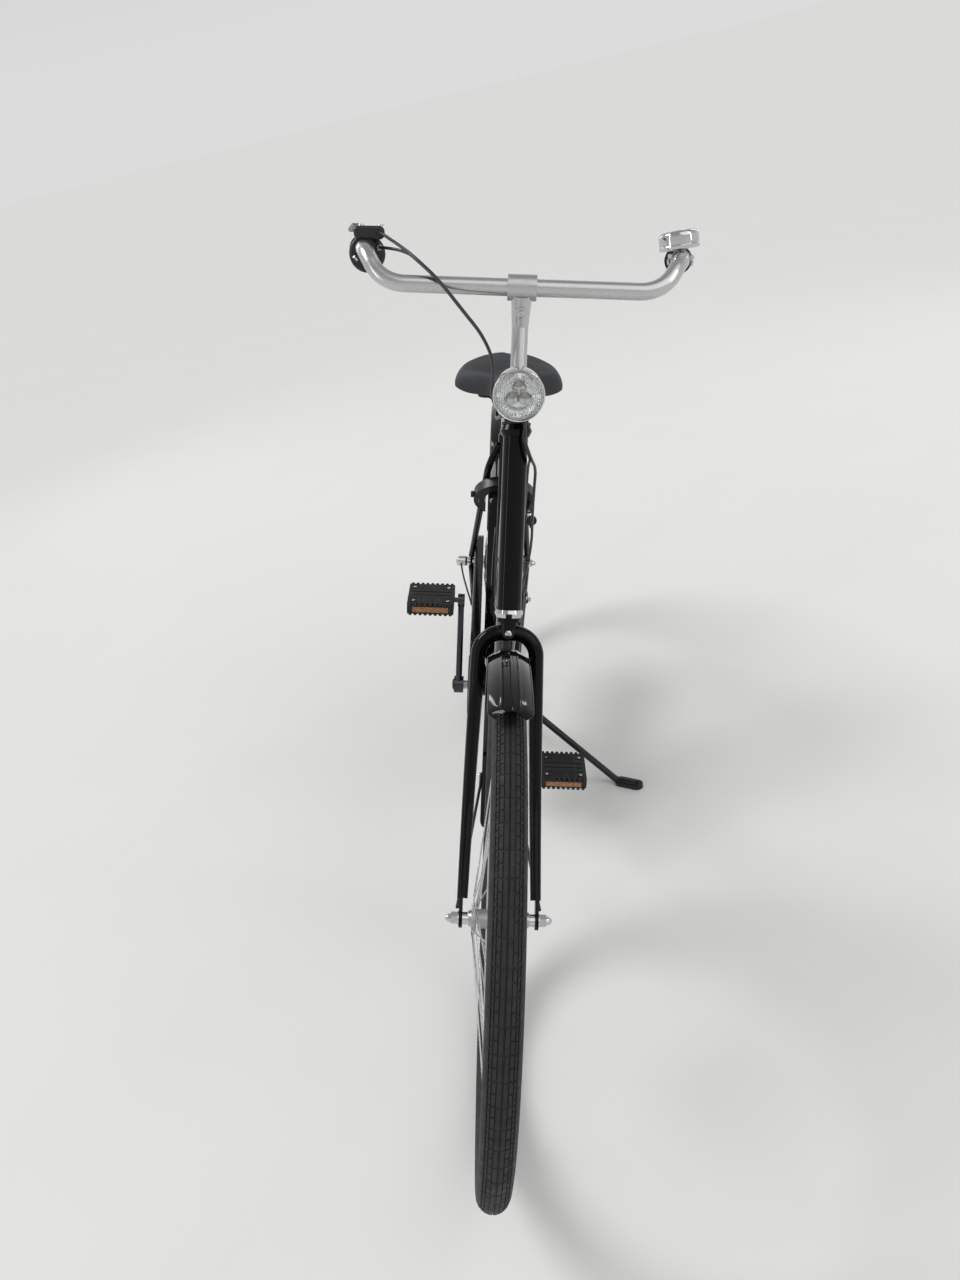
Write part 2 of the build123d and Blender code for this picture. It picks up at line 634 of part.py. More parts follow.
def make_headlight():
    centre = steering_point(HEADLIGHT_HEIGHT, HEADLIGHT_FORWARD)
    axis = Axis(centre, (0, 1, 0))

    def turned(points):
        outline = Polyline(*[(r, centre[1] + y, centre[2]) for y, r in points], close=True)
        return revolve(make_face(outline), axis=axis)

    outer = [(0, 32), (0, 34), (6, 34), (8, 33), (30, 31), (48, 24), (60, 13), (64, 0)]
    inner = [(61, 0), (57, 11), (46, 22), (29, 28.5), (9, 30.5), (9, 32)]
    nodes["headlight_shell"] = turned(outer + inner)
    nodes["headlight_lens"] = turned([(2, 0), (2, 31.8), (5, 31.8), (5, 0)])
    nodes["headlight_reflector"] = turned(
        [(5.3, 29.4), (5.3, 31.8), (8.7, 31.8), (8.7, 29.8), (30, 12), (34, 0), (32, 0), (28, 11)])
    plate_low = HEAD_TUBE_HIGH + UPPER_CUP_HEIGHT + HEADSET_GAP
    plate_high = plate_low + BRACKET_PLATE
    plate = rod(steering_point(plate_low), steering_point(plate_high), 40)
    plate += rod(steering_point(plate_high - 5, 16), steering_point(plate_high + 8, 44), 9)
    seat = (0, centre[1] + 26, centre[2] - 31.3)
    plate += rod(steering_point(plate_high + 8, 44), seat, 9)
    plate -= rod(steering_point(plate_low - 12), steering_point(plate_low), 60)
    plate -= rod(steering_point(plate_low - 1), steering_point(plate_high + 30), STEERER_DIAMETER + 0.4)
    plate -= rod(steering_point(plate_high), steering_point(plate_high + 20), 36)
    nodes["headlight_bracket"] = plate - turned([(0, 0)] + outer)


# Mudguards and their stays

def mudguard(axle, width, front_angle, rear_angle):
    """A crowned band turned about the wheel's axle."""
    half = width / 2
    edge = GUARD_EDGE_RADIUS
    crown = edge + GUARD_SAG

    def at(x, r):
        return (x, axle[1], axle[2] + r)

    inner = ThreePointArc(at(-half, edge), at(0, crown), at(half, edge))
    outer = ThreePointArc(at(half, edge + GUARD_THICKNESS), at(0, crown + GUARD_THICKNESS),
                          at(-half, edge + GUARD_THICKNESS))
    outline = inner + Line(inner @ 1, outer @ 0) + outer + Line(outer @ 1, inner @ 0)
    sweep_angle = front_angle + rear_angle
    band = revolve(make_face(outline), axis=Axis(axle, (1, 0, 0)), revolution_arc=sweep_angle)
    return band.rotate(Axis(axle, (1, 0, 0)), -rear_angle)


def guard_stays(axle, width, angle, foot_x):
    """A pair of round stays from the axle's ends to the guard's edges."""
    radius = GUARD_EDGE_RADIUS - 2
    solids = []
    for side in SIDES.values():
        foot = wheel_point(axle, STAY_FOOT_RADIUS, angle, side * foot_x)
        knee = wheel_point(axle, radius - 30, angle, side * (width / 2 + 4))
        tip = wheel_point(axle, radius + 9, angle, side * (width / 2 + 2.8))
        solids.append(bent_tube([foot, knee, tip], (40,), GUARD_STAY_DIAMETER))
    return solids


def make_mudguards():
    nodes["front_mudguard"] = mudguard(FRONT_AXLE, FRONT_GUARD_WIDTH,
                                       FRONT_GUARD_FRONT, FRONT_GUARD_REAR)
    nodes["rear_mudguard"] = mudguard(REAR_AXLE, REAR_GUARD_WIDTH,
                                      REAR_GUARD_FRONT, REAR_GUARD_REAR)
    off_plate = DROPOUT_THICKNESS + GUARD_STAY_DIAMETER / 2 + STAY_SEAT_GAP
    front_x = FRONT_OVER_LOCKNUTS / 2 + off_plate
    rear_x = REAR_OVER_LOCKNUTS / 2 + off_plate
    front = guard_stays(FRONT_AXLE, FRONT_GUARD_WIDTH, 96, front_x)
    crown_angle = degrees(atan2(steering_point(CROWN_HEIGHT)[1],
                                steering_point(CROWN_HEIGHT)[2] - TYRE_RADIUS))
    crown_reach = sqrt(FORK_RAKE ** 2 + CROWN_HEIGHT ** 2) - BLADE_TOP_DIAMETER / 2
    strap_low = wheel_point(FRONT_AXLE, GUARD_TOP_RADIUS + STAY_SEAT_GAP, crown_angle)
    strap_high = wheel_point(FRONT_AXLE, crown_reach - 2 * STAY_SEAT_GAP, crown_angle)
    front.append(rod(strap_low, strap_high, GUARD_STRAP_DIAMETER))
    nodes["front_mudguard_stays"] = Compound(children=front)
    rear = guard_stays(REAR_AXLE, REAR_GUARD_WIDTH, 78, rear_x)
    nodes["rear_mudguard_stays"] = Compound(children=rear)


# Frame tubes, each mitred to the one that it meets

def tapered_tube(points, radii, diameter, end_diameter):
    path = FilletPolyline(*points, radius=radii)
    near = Plane(origin=path @ 0, z_dir=path % 0) * Circle(diameter / 2)
    far = Plane(origin=path @ 1, z_dir=path % 1) * Circle(end_diameter / 2)
    return sweep([near, far], path=path, multisection=True)


def head_envelope():
    return rod(steering_point(HEAD_TUBE_LOW - 5), steering_point(HEAD_TUBE_HIGH + 5),
               HEAD_TUBE_DIAMETER + 2 * JOINT_GAP)


def shell_envelope():
    return across(BRACKET, -SHELL_HALF_WIDTH - 30, SHELL_HALF_WIDTH + 30,
                  SHELL_DIAMETER + 2 * JOINT_GAP)


def seat_tube_envelope():
    return rod(seat_point(0), seat_point(SEAT_TUBE_LENGTH + 5), SEAT_TUBE_DIAMETER + 2 * JOINT_GAP)


def dropout(side, margin=0):
    """A flat rear end plate with the axle's hole and a threaded eye for a carrier."""
    inner = REAR_OVER_LOCKNUTS / 2 - margin
    thickness = DROPOUT_THICKNESS + 2 * margin
    x_from = min(side * inner, side * (inner + thickness))
    plane = Plane(origin=(x_from, WHEELBASE, TYRE_RADIUS), x_dir=(0, 1, 0), z_dir=(1, 0, 0))
    outline = Polyline((-34, -12), (14, -15), (20, 0), (16, 24), (2, 38), (-12, 38),
                       (-22, 18), (-34, 8), close=True)
    plate = extrude(plane * make_face(outline), amount=thickness)
    if margin:
        return plate
    plate -= across(REAR_AXLE, x_from - 1, x_from + thickness + 1, AXLE_DIAMETER)
    eye = (0, *DROPOUT_EYE)
    return plate - across(eye, x_from - 1, x_from + thickness + 1, CARRIER_EYE_DIAMETER)


def chain_stay_points(side):
    plate_x = REAR_OVER_LOCKNUTS / 2 + DROPOUT_THICKNESS / 2
    return [(side * (SHELL_HALF_WIDTH - 9), BRACKET[1] + 12, BRACKET[2] + 1),
            (side * STAY_BRIDGE_X, BRACKET[1] + 90, BRACKET[2] + 9),
            (side * plate_x, WHEELBASE - 22, TYRE_RADIUS - 3)]


def chain_stay(side, extra=0):
    return tapered_tube(chain_stay_points(side), (250,), CHAIN_STAY_DIAMETER + extra,
                        CHAIN_STAY_END_DIAMETER + extra)


def seat_stay_points(side):
    plate_x = REAR_OVER_LOCKNUTS / 2 + DROPOUT_THICKNESS / 2
    top = seat_point(SEAT_TUBE_LENGTH - 18, side * 14)
    bend = seat_point(SEAT_TUBE_LENGTH - 60)
    return [top, (side * 34, bend[1] + 20, bend[2] - 6),
            (side * plate_x, WHEELBASE - 12, TYRE_RADIUS + 22)]


def seat_stay(side, extra=0):
    return bent_tube(seat_stay_points(side), (SEAT_STAY_BEND_RADIUS,), SEAT_STAY_DIAMETER + extra)


def make_frame():
    a = seat_point(0)
    b = seat_point(SEAT_TUBE_LENGTH)
    tube = rod(a, b, SEAT_TUBE_DIAMETER) - shell_envelope()
    tube += rod(seat_point(SEAT_TUBE_LENGTH - SEAT_COLLAR_HEIGHT), b, SEAT_COLLAR_DIAMETER)
    bolt_at = seat_point(SEAT_TUBE_LENGTH - SEAT_COLLAR_HEIGHT / 2)
    bolt_y = bolt_at[1] + SEAT_COLLAR_DIAMETER / 2 + 2
    tube += rod((-11, bolt_y, bolt_at[2]), (11, bolt_y, bolt_at[2]), 10)
    nodes["seat_tube"] = tube - rod(seat_point(200), seat_point(SEAT_TUBE_LENGTH + 1),
                                    SEAT_POST_DIAMETER)
    shell = across(BRACKET, -SHELL_HALF_WIDTH, SHELL_HALF_WIDTH, SHELL_DIAMETER)
    shell -= across(BRACKET, -SHELL_HALF_WIDTH - 1, SHELL_HALF_WIDTH + 1,
                    SPINDLE_DIAMETER + 2 * SPINDLE_GAP)
    nodes["bottom_bracket_shell"] = shell

    head_low = steering_point(HEAD_TUBE_LOW + 32, -4)
    low_bend = bowed(head_low, BRACKET, DOWN_TUBE_BEND_SHARE, DOWN_TUBE_BOW)
    down = bent_tube([head_low, low_bend, (0, BRACKET[1] - 6, BRACKET[2] + 3)],
                     (DOWN_TUBE_BEND_RADIUS,), DOWN_TUBE_DIAMETER)
    nodes["down_tube"] = down - head_envelope() - shell_envelope() - seat_tube_envelope()
    head_high = steering_point(HEAD_TUBE_HIGH - 34, -4)
    seat_join = seat_point(TOP_TUBE_JOIN)
    high_bend = bowed(head_high, seat_join, TOP_TUBE_BEND_SHARE, TOP_TUBE_BOW)
    top = bent_tube([head_high, high_bend, (0, seat_join[1] - 4, seat_join[2])],
                    (TOP_TUBE_BEND_RADIUS,), TOP_TUBE_DIAMETER)
    nodes["top_tube"] = top - head_envelope() - seat_tube_envelope()

    for name, side in SIDES.items():
        plate = dropout(side, JOINT_GAP)
        nodes[f"chain_stay_{name}"] = chain_stay(side) - shell_envelope() - plate
        nodes[f"seat_stay_{name}"] = seat_stay(side) - seat_tube_envelope() - plate
    nodes["rear_dropouts"] = Compound(children=[dropout(side) for side in SIDES.values()])


def make_rear_axle():
    inner = REAR_OVER_LOCKNUTS / 2
    plate_out = inner + DROPOUT_THICKNESS
    tip = plate_out + WASHER_THICKNESS + NUT_HEIGHT
    axle = across(REAR_AXLE, -tip, tip, AXLE_DIAMETER)
    right_from = REAR_FLANGE_X + FLANGE_THICKNESS / 2 + 4 + HUB_RUNNING_GAP
    axle += across(REAR_AXLE, -inner, -right_from, 30)
    nodes["rear_axle"] = Compound(children=[axle, axle_nut(REAR_AXLE, 1, plate_out)])
    drum = ring_across(REAR_AXLE, right_from, right_from + BRAKE_DRUM_WIDTH,
                       BRAKE_DRUM_DIAMETER, AXLE_DIAMETER)
    arm_from = inner - BRAKE_ARM_THICKNESS - 1
    drum += ring_across(REAR_AXLE, right_from + BRAKE_DRUM_WIDTH, arm_from, 36, AXLE_DIAMETER)
    nodes["hub_brake"] = drum
    seat = plate_out
    box = spun(REAR_AXLE, [(-seat, 0), (-seat, 10), (-seat - 8, 10), (-seat - 12, 12),
                           (-seat - 28, 12), (-seat - 33, 8), (-seat - 33, 0)])
    nodes["gear_change_box"] = box - across(REAR_AXLE, -tip - 0.2, 0, AXLE_DIAMETER)


# Saddle and seat post

def make_saddle():
    post_low = seat_point(SEAT_TUBE_LENGTH - 60)
    post_high = seat_point(SEAT_TUBE_LENGTH + SEAT_POST_SHOWN)
    nodes["seat_post"] = rod(post_low, post_high, SEAT_POST_DIAMETER - 2 * GRIP_GAP)
    _, y, z = post_high
    pan_z = z + SADDLE_RISE
    nose_y = y - SADDLE_NOSE_AHEAD + SADDLE_NOSE_RADIUS
    rear_y = y + SADDLE_REAR_BEHIND - SADDLE_REAR_RADIUS
    wing_x = SADDLE_WIDTH / 2 - SADDLE_REAR_RADIUS

    def outline(margin):
        nose = Pos(0, nose_y) * Circle(SADDLE_NOSE_RADIUS - margin)
        waist = Pos(0, y + 10) * Circle(SADDLE_WAIST_RADIUS - margin)
        tongue = make_hull(nose.edges() + waist.edges())
        wings = [Pos(side * wing_x, rear_y) * Circle(SADDLE_REAR_RADIUS - margin)
                 for side in SIDES.values()]
        seat = make_hull(wings[0].edges() + wings[1].edges() + waist.edges())
        return tongue + seat

    cushion = extrude(Plane.XY.offset(pan_z + SADDLE_PAN_THICKNESS) * outline(0),
                      amount=SADDLE_CUSHION_HEIGHT)
    crown_z = pan_z + SADDLE_PAN_THICKNESS + SADDLE_CUSHION_HEIGHT - SADDLE_CROWN_RADIUS
    cushion &= rod((0, nose_y - 60, crown_z), (0, rear_y + 90, crown_z), 2 * SADDLE_CROWN_RADIUS)
    top_edges = cushion.faces().sort_by(Axis.Z)[-1].edges()
    nodes["saddle_cover"] = fillet(top_edges, SADDLE_EDGE_RADIUS)
    frame = extrude(Plane.XY.offset(pan_z) * outline(6), amount=SADDLE_PAN_THICKNESS)
    clamp_z = z + 4
    frame += rod((-24, y, clamp_z), (24, y, clamp_z), 30) - rod(
        seat_point(SEAT_TUBE_LENGTH), post_high, SEAT_POST_DIAMETER)
    for side in SIDES.values():
        rail_x = side * 22
        frame += bent_tube(
            [(rail_x * 0.5, nose_y, pan_z + 1), (rail_x, y - 60, clamp_z),
             (rail_x, y + 50, clamp_z), (rail_x * 1.6, y + 76, pan_z + 1)], (40, 16), 7)
        buffer_at = (side * 46, rear_y + 8)
        frame += rod((*buffer_at, pan_z - 22), (*buffer_at, pan_z + 1), SADDLE_BUFFER_DIAMETER)
        frame += rod((rail_x, y + 50, clamp_z), (*buffer_at, pan_z - 18), 7)
    nodes["saddle_frame"] = frame


# Ring lock on the seat stays

def make_ring_lock():
    _, stay_y, stay_z = seat_stay_points(1)[1]
    turn = atan2(stay_y - WHEELBASE, stay_z - TYRE_RADIUS)
    centre = wheel_point(REAR_AXLE, LOCK_RADIUS, degrees(turn))
    outward = (0, sin(turn), cos(turn))
    forward = (0, -cos(turn), sin(turn))
    offset = SEAT_STAY_DIAMETER / 2 + LOCK_THICKNESS / 2 + 0.5
    origin = tuple(c + f * offset for c, f in zip(centre, forward))
    plane = Plane(origin=origin, x_dir=(1, 0, 0), z_dir=forward)
    outer = LOCK_WIDTH / 2
    band = Circle(outer) - Circle(outer - LOCK_BAND)
    band -= Pos(0, -outer) * Rectangle(2 * (outer - LOCK_BAND) - 6, 2 * outer)
    if (plane.to_local_coords(Vector(*origin) + Vector(*outward) * 10)).Y < 0:
        band = band.rotate(Axis.Z, 180)
    body = extrude(plane * band, amount=LOCK_THICKNESS / 2, both=True)
    nodes["ring_lock"] = body
    key_at = (outer - LOCK_BAND / 2, *origin[1:])
    key_end = tuple(k + f * (LOCK_THICKNESS / 2 + 26) for k, f in zip(key_at, forward))
    key_foot = tuple(k + f * (LOCK_THICKNESS / 2) for k, f in zip(key_at, forward))
    nodes["lock_key"] = rod(key_foot, key_end, 4) + rod(between(key_foot, key_end, 0.5), key_end, 16)


# Chain case, cranks and pedals

def make_chain_case():
    def outline(wall):
        front = Pos(BRACKET[1], BRACKET[2]) * Circle(CASE_FRONT_RADIUS - wall)
        rear = Pos(REAR_AXLE[1], REAR_AXLE[2]) * Circle(CASE_REAR_RADIUS - wall)
        return make_hull(front.edges() + rear.edges())

    depth = CASE_OUTER_X - CASE_INNER_X
    plane = Plane(origin=(-CASE_INNER_X, 0, 0), x_dir=(0, 1, 0), z_dir=(1, 0, 0))
    inside = Plane(origin=(-CASE_INNER_X - CASE_WALL, 0, 0), x_dir=(0, 1, 0), z_dir=(1, 0, 0))
    body = extrude(plane * outline(0), amount=-depth)
    body = fillet(body.faces().sort_by(Axis.X)[0].edges(), CASE_EDGE_RADIUS)
    body += across(BRACKET, -CASE_OUTER_X - CASE_DISC_RISE, -CASE_OUTER_X + 1, CASE_DISC_DIAMETER)
    body -= extrude(inside * outline(CASE_WALL), amount=-(depth - 2 * CASE_WALL))
    body -= across(BRACKET, -CASE_OUTER_X - 5, -CASE_INNER_X + 1, CASE_SPINDLE_HOLE)
    body -= across(REAR_AXLE, -CASE_OUTER_X - 1, -CASE_INNER_X + 1, CASE_HUB_HOLE)
    body -= chain_stay(SIDES["right"], 2 * CASE_CLEARANCE)
    nodes["chain_case"] = body - seat_stay(SIDES["right"], 2 * CASE_CLEARANCE)


def make_cranks():
    angle = radians(CRANK_ANGLE)
    outer = CRANK_INNER_X + CRANK_BOSS_THICKNESS
    arm_outer = CRANK_ARM_INNER_X + CRANK_ARM_THICKNESS
    arm_middle = CRANK_ARM_INNER_X + CRANK_ARM_THICKNESS / 2
    nodes["crank_spindle"] = across(BRACKET, -CRANK_INNER_X, CRANK_INNER_X, SPINDLE_DIAMETER)
    for name, side in SIDES.items():
        reach_y = -side * CRANK_LENGTH * sin(angle)
        reach_z = -side * CRANK_LENGTH * cos(angle)
        eye = (0, BRACKET[1] + reach_y, BRACKET[2] + reach_z)
        boss_from, boss_to = sorted((side * CRANK_INNER_X, side * outer))
        eye_from, eye_to = sorted((side * (CRANK_ARM_INNER_X - 0.5), side * (arm_outer + 0.5)))
        arm = across(BRACKET, boss_from, boss_to, CRANK_BOSS_DIAMETER)
        arm += across(eye, eye_from, eye_to, CRANK_EYE_DIAMETER)
        near = Plane(origin=(side * arm_middle, BRACKET[1], BRACKET[2]),
                     x_dir=(1, 0, 0), z_dir=(0, reach_y, reach_z))
        far = Plane(origin=(side * arm_middle, eye[1], eye[2]),
                    x_dir=(1, 0, 0), z_dir=(0, reach_y, reach_z))
        arm += loft([near * RectangleRounded(CRANK_ARM_THICKNESS, CRANK_ARM_WIDTH, 4),
                     far * RectangleRounded(CRANK_ARM_THICKNESS - 1, CRANK_ARM_END_WIDTH, 4)])
        pedal_out = PEDAL_INNER_X + PEDAL_WIDTH - 6
        a, b = sorted((side * arm_outer, side * pedal_out))
        arm += across(eye, a, b, PEDAL_AXLE_DIAMETER)
        nodes[f"crank_{name}"] = arm
        make_pedal(name, side, eye)


def make_pedal(name, side, eye):
    x_from, x_to = sorted((side * PEDAL_INNER_X, side * (PEDAL_INNER_X + PEDAL_WIDTH)))
    middle = ((x_from + x_to) / 2, eye[1], eye[2])
    block = Pos(*middle) * Box(PEDAL_WIDTH, PEDAL_LENGTH, PEDAL_THICKNESS)
    block = chamfer(block.edges().filter_by(Axis.X), 5)
    bore_from, bore_to = sorted((side * (PEDAL_INNER_X - 1), side * (PEDAL_INNER_X + PEDAL_WIDTH - 5)))
    block -= across(eye, bore_from, bore_to, PEDAL_AXLE_DIAMETER + 1)
    notch_count = int((PEDAL_WIDTH - 12) / PEDAL_NOTCH_PITCH)
    groove_count = int((PEDAL_LENGTH - 20) / PEDAL_GROOVE_PITCH)
    reflectors = []
    for end in (1, -1):
        for number in range(notch_count + 1):
            notch_x = middle[0] + (number - notch_count / 2) * PEDAL_NOTCH_PITCH
            for face in (1, -1):
                notch = (notch_x, eye[1] + end * PEDAL_LENGTH / 2, eye[2] + face * PEDAL_THICKNESS / 2)
                block -= Pos(*notch) * Box(PEDAL_NOTCH_WIDTH, 2 * PEDAL_NOTCH_DEPTH, 9)
        for number in range(groove_count + 1):
            groove_y = eye[1] + (number - groove_count / 2) * PEDAL_GROOVE_PITCH
            groove = (middle[0], groove_y, eye[2] + end * PEDAL_THICKNESS / 2)
            block -= Pos(*groove) * Box(PEDAL_WIDTH - 14, 3, 2.4)
        slot = (middle[0], eye[1] + end * (PEDAL_LENGTH / 2 - 1), eye[2])
        block -= Pos(*slot) * Box(PEDAL_WIDTH - 20, 4, PEDAL_THICKNESS - 12)
        glass = (middle[0], eye[1] + end * (PEDAL_LENGTH / 2 - 1.3), eye[2])
        reflectors.append(Pos(*glass) * Box(PEDAL_WIDTH - 21, 3, PEDAL_THICKNESS - 13))
    nodes[f"pedal_{name}"] = block
    nodes[f"pedal_{name}_reflectors"] = Compound(children=reflectors)


# Side stand and the bracket that carries it

def above_ground(x, y, height):
    """The upright place of a point that is given by its place on the ground when parked."""
    turn = radians(LEAN)
    z = height - TYRE_LIFT
    return (x * cos(turn) - z * sin(turn), y, x * sin(turn) + z * cos(turn))


def stand_axis(bend):
    """The pin is square to the leg both when it is down and when it is folded back."""
    down = Vector(*bend) - Vector(*STAND_PIVOT)
    return down.cross(Vector(*STAND_FOLDED_DIRECTION)).normalized()


def make_stand():
    rest = STAND_LEG_DIAMETER / 2
    bend = above_ground(*STAND_BEND_ON_GROUND, rest)
    foot = above_ground(*STAND_FOOT_ON_GROUND, rest)
    leg = bent_tube([STAND_PIVOT, bend, foot], (16,), STAND_LEG_DIAMETER)
    pin_axis = stand_axis(bend)
    pivot = Vector(*STAND_PIVOT)

    def on_pin(distance):
        return tuple(pivot + pin_axis * distance)

    half = STAND_BARREL_LENGTH / 2
    leg += rod(on_pin(-half), on_pin(half), STAND_BARREL_DIAMETER)
    leg -= rod(on_pin(-half - 5), on_pin(half + 5), STAND_PIN_DIAMETER + 1)
    turn = radians(LEAN)
    toe = Vector(*foot) - Vector(*bend)
    ground_up = Vector(-sin(turn), 0, cos(turn))
    sole_at = Vector(*between(bend, foot, 0.6)) - ground_up * rest
    pad = SlotOverall(STAND_FOOT_LENGTH, STAND_FOOT_WIDTH)
    pad -= SlotOverall(STAND_FOOT_LENGTH - STAND_FOOT_WIDTH, STAND_FOOT_SLOT)
    leg += extrude(Plane(origin=sole_at, x_dir=toe, z_dir=ground_up) * pad, amount=STAND_FOOT_THICKNESS)
    nodes["side_stand"] = leg

    cheek_from = half + STAND_CHEEK_GAP
    cheek_to = cheek_from + STAND_CHEEK_THICKNESS
    bracket = rod(on_pin(-cheek_to), on_pin(cheek_to), STAND_PIN_DIAMETER)
    for end in (1, -1):
        bracket += rod(on_pin(end * cheek_from), on_pin(end * cheek_to), STAND_BARREL_DIAMETER)
    near, far = chain_stay_points(1)[:2]
    plate_front = STAND_PIVOT[1] + 17
    stay_there = between(near, far, (plate_front - near[1]) / (far[1] - near[1]))
    plate_top = stay_there[2] - CHAIN_STAY_DIAMETER / 2
    plate_middle = (6, STAND_PIVOT[1] + 34, plate_top - 4)
    bracket += Pos(*plate_middle) * Box(84, 34, 8)
    for end in (1, -1):
        a = on_pin(end * (cheek_from + STAND_CHEEK_THICKNESS / 2))
        bracket += rod(a, (plate_middle[0] + 12 + end * 14, plate_middle[1] - 8, plate_middle[2]), 10)
    bracket -= rod(on_pin(-half - STAND_CHEEK_GAP), on_pin(half + STAND_CHEEK_GAP),
                   STAND_BARREL_DIAMETER + 6) - rod(on_pin(-cheek_to), on_pin(cheek_to),
                                                   STAND_PIN_DIAMETER)
    nodes["stand_bracket"] = bracket


# Control cables, held by the levers, the frame's clips and the hub

def cable(name, points):
    """A held cable: straight runs joined by arcs as large as the two runs leave room for."""
    corners = [Vector(*point) for point in points]
    radii = []
    for before, corner, after in zip(corners, corners[1:], corners[2:]):
        run_in = corner - before
        run_out = after - corner
        half_turn = radians(run_in.get_angle(run_out)) / 2
        radii.append(CABLE_ARC_SHARE * min(run_in.length, run_out.length) / tan(half_turn))
    solid = bent_tube(points, radii, CABLE_DIAMETER)
    length = FilletPolyline(*points, radius=radii).length
    section = CABLE_DIAMETER ** 2 * pi / 4
    print(name, "length", round(length), "least radius", round(min(radii)),
          "volume share", round(solid.volume / section / length, 4))
    return solid


def shifted(points, offset):
    return [tuple(p + o for p, o in zip(point, offset)) for point in points]


def cable_at_head(above_split, forward=0, side=0):
    return steering_point(CABLE_SPLIT + above_split, CABLE_SPLIT_FORWARD + forward,
                          CABLE_SPLIT_SIDE + side)


def bar_cable_points():
    """From the controls, in front of the bar, behind the headlight, to the head tube's side."""
    _, bar_y, bar_z = steering_point(BAR_HEIGHT, STEM_EXTENSION)
    # side, behind the bar's middle, above it
    free = [(-158, 32, 39), (-134, 2, 27), (-107, -22, 9), (-76, -36, -24), (-49, -34, -55),
            (-32, -26, -94), (-37, -58, -143), (3, -65, -147)]
    route = [(x, bar_y + back, bar_z + up) for x, back, up in free]
    return route + [cable_at_head(12), cable_at_head(0.25)]


def make_cables():
    route = bar_cable_points()
    lever = bar_plane(GRIP_LENGTH + 1 + SHIFTER_SLEEVE_LENGTH + SHIFTER_DRUM_LENGTH + 1
                      + LEVER_CLAMP_LENGTH, SIDES["right"])
    brake_start = lever.from_local_coords((-23, 20, -15.2))
    gear_start = lever.from_local_coords((-21.5, 2, LEVER_CLAMP_LENGTH + 1 - 10.2))
    nodes["control_cables_bar"] = Compound(children=[
        cable("brake cable on the bar", [tuple(brake_start)] + route),
        cable("gear cable on the bar", [tuple(gear_start)] + shifted(route, CABLE_PAIR_OFFSET)),
    ])

    start = [cable_at_head(-0.25), cable_at_head(-12), cable_at_head(-36, -10, 10)]
    by_tube = TOP_TUBE_DIAMETER / 2 + CABLE_DIAMETER / 2 + 1
    # side, back, height: along the top tube, past the seat tube and along the left chain stay
    brake = start + [
        (30, 322, 889), (31, 358, 813), (35, 397, 743), (33, 430, 688), (23, 472.5, 603),
        (by_tube, 548, 532), (26, 690, 467), (28, 744, 437), (29, 764, 386), (41, 795, 336),
        (50, 877, 333), (58, 985, 348), BRAKE_CABLE_END]
    # side, back, height: above the brake cable, then behind the seat tube to the chain case
    gear = shifted(start, CABLE_PAIR_OFFSET) + [
        (19.7, 336, 888), (by_tube + 1, 367, 820), (by_tube, 417, 727), (by_tube, 480.5, 608.5),
        (by_tube, 554, 540.5), (by_tube, 697, 474), (by_tube, 735, 412), (0, 738, 380), (-24, 728, 360),
        (-CASE_INNER_X + CABLE_DIAMETER / 2, 716, 346)]
    gear_rear = [(-90, WHEELBASE - 8, TYRE_RADIUS - 3), (-84, 1066, 343), (-72, 992, 342),
                 (-64, 955, 338), (-CASE_OUTER_X - CABLE_DIAMETER / 2 - 0.2, 936, 334)]
    nodes["brake_cable_frame"] = cable("brake cable on the frame", brake)
    nodes["gear_cable_frame"] = cable("gear cable on the frame", gear)
    nodes["gear_change_box"] += cable("gear cable at the hub", gear_rear)


# Small pieces at the rear

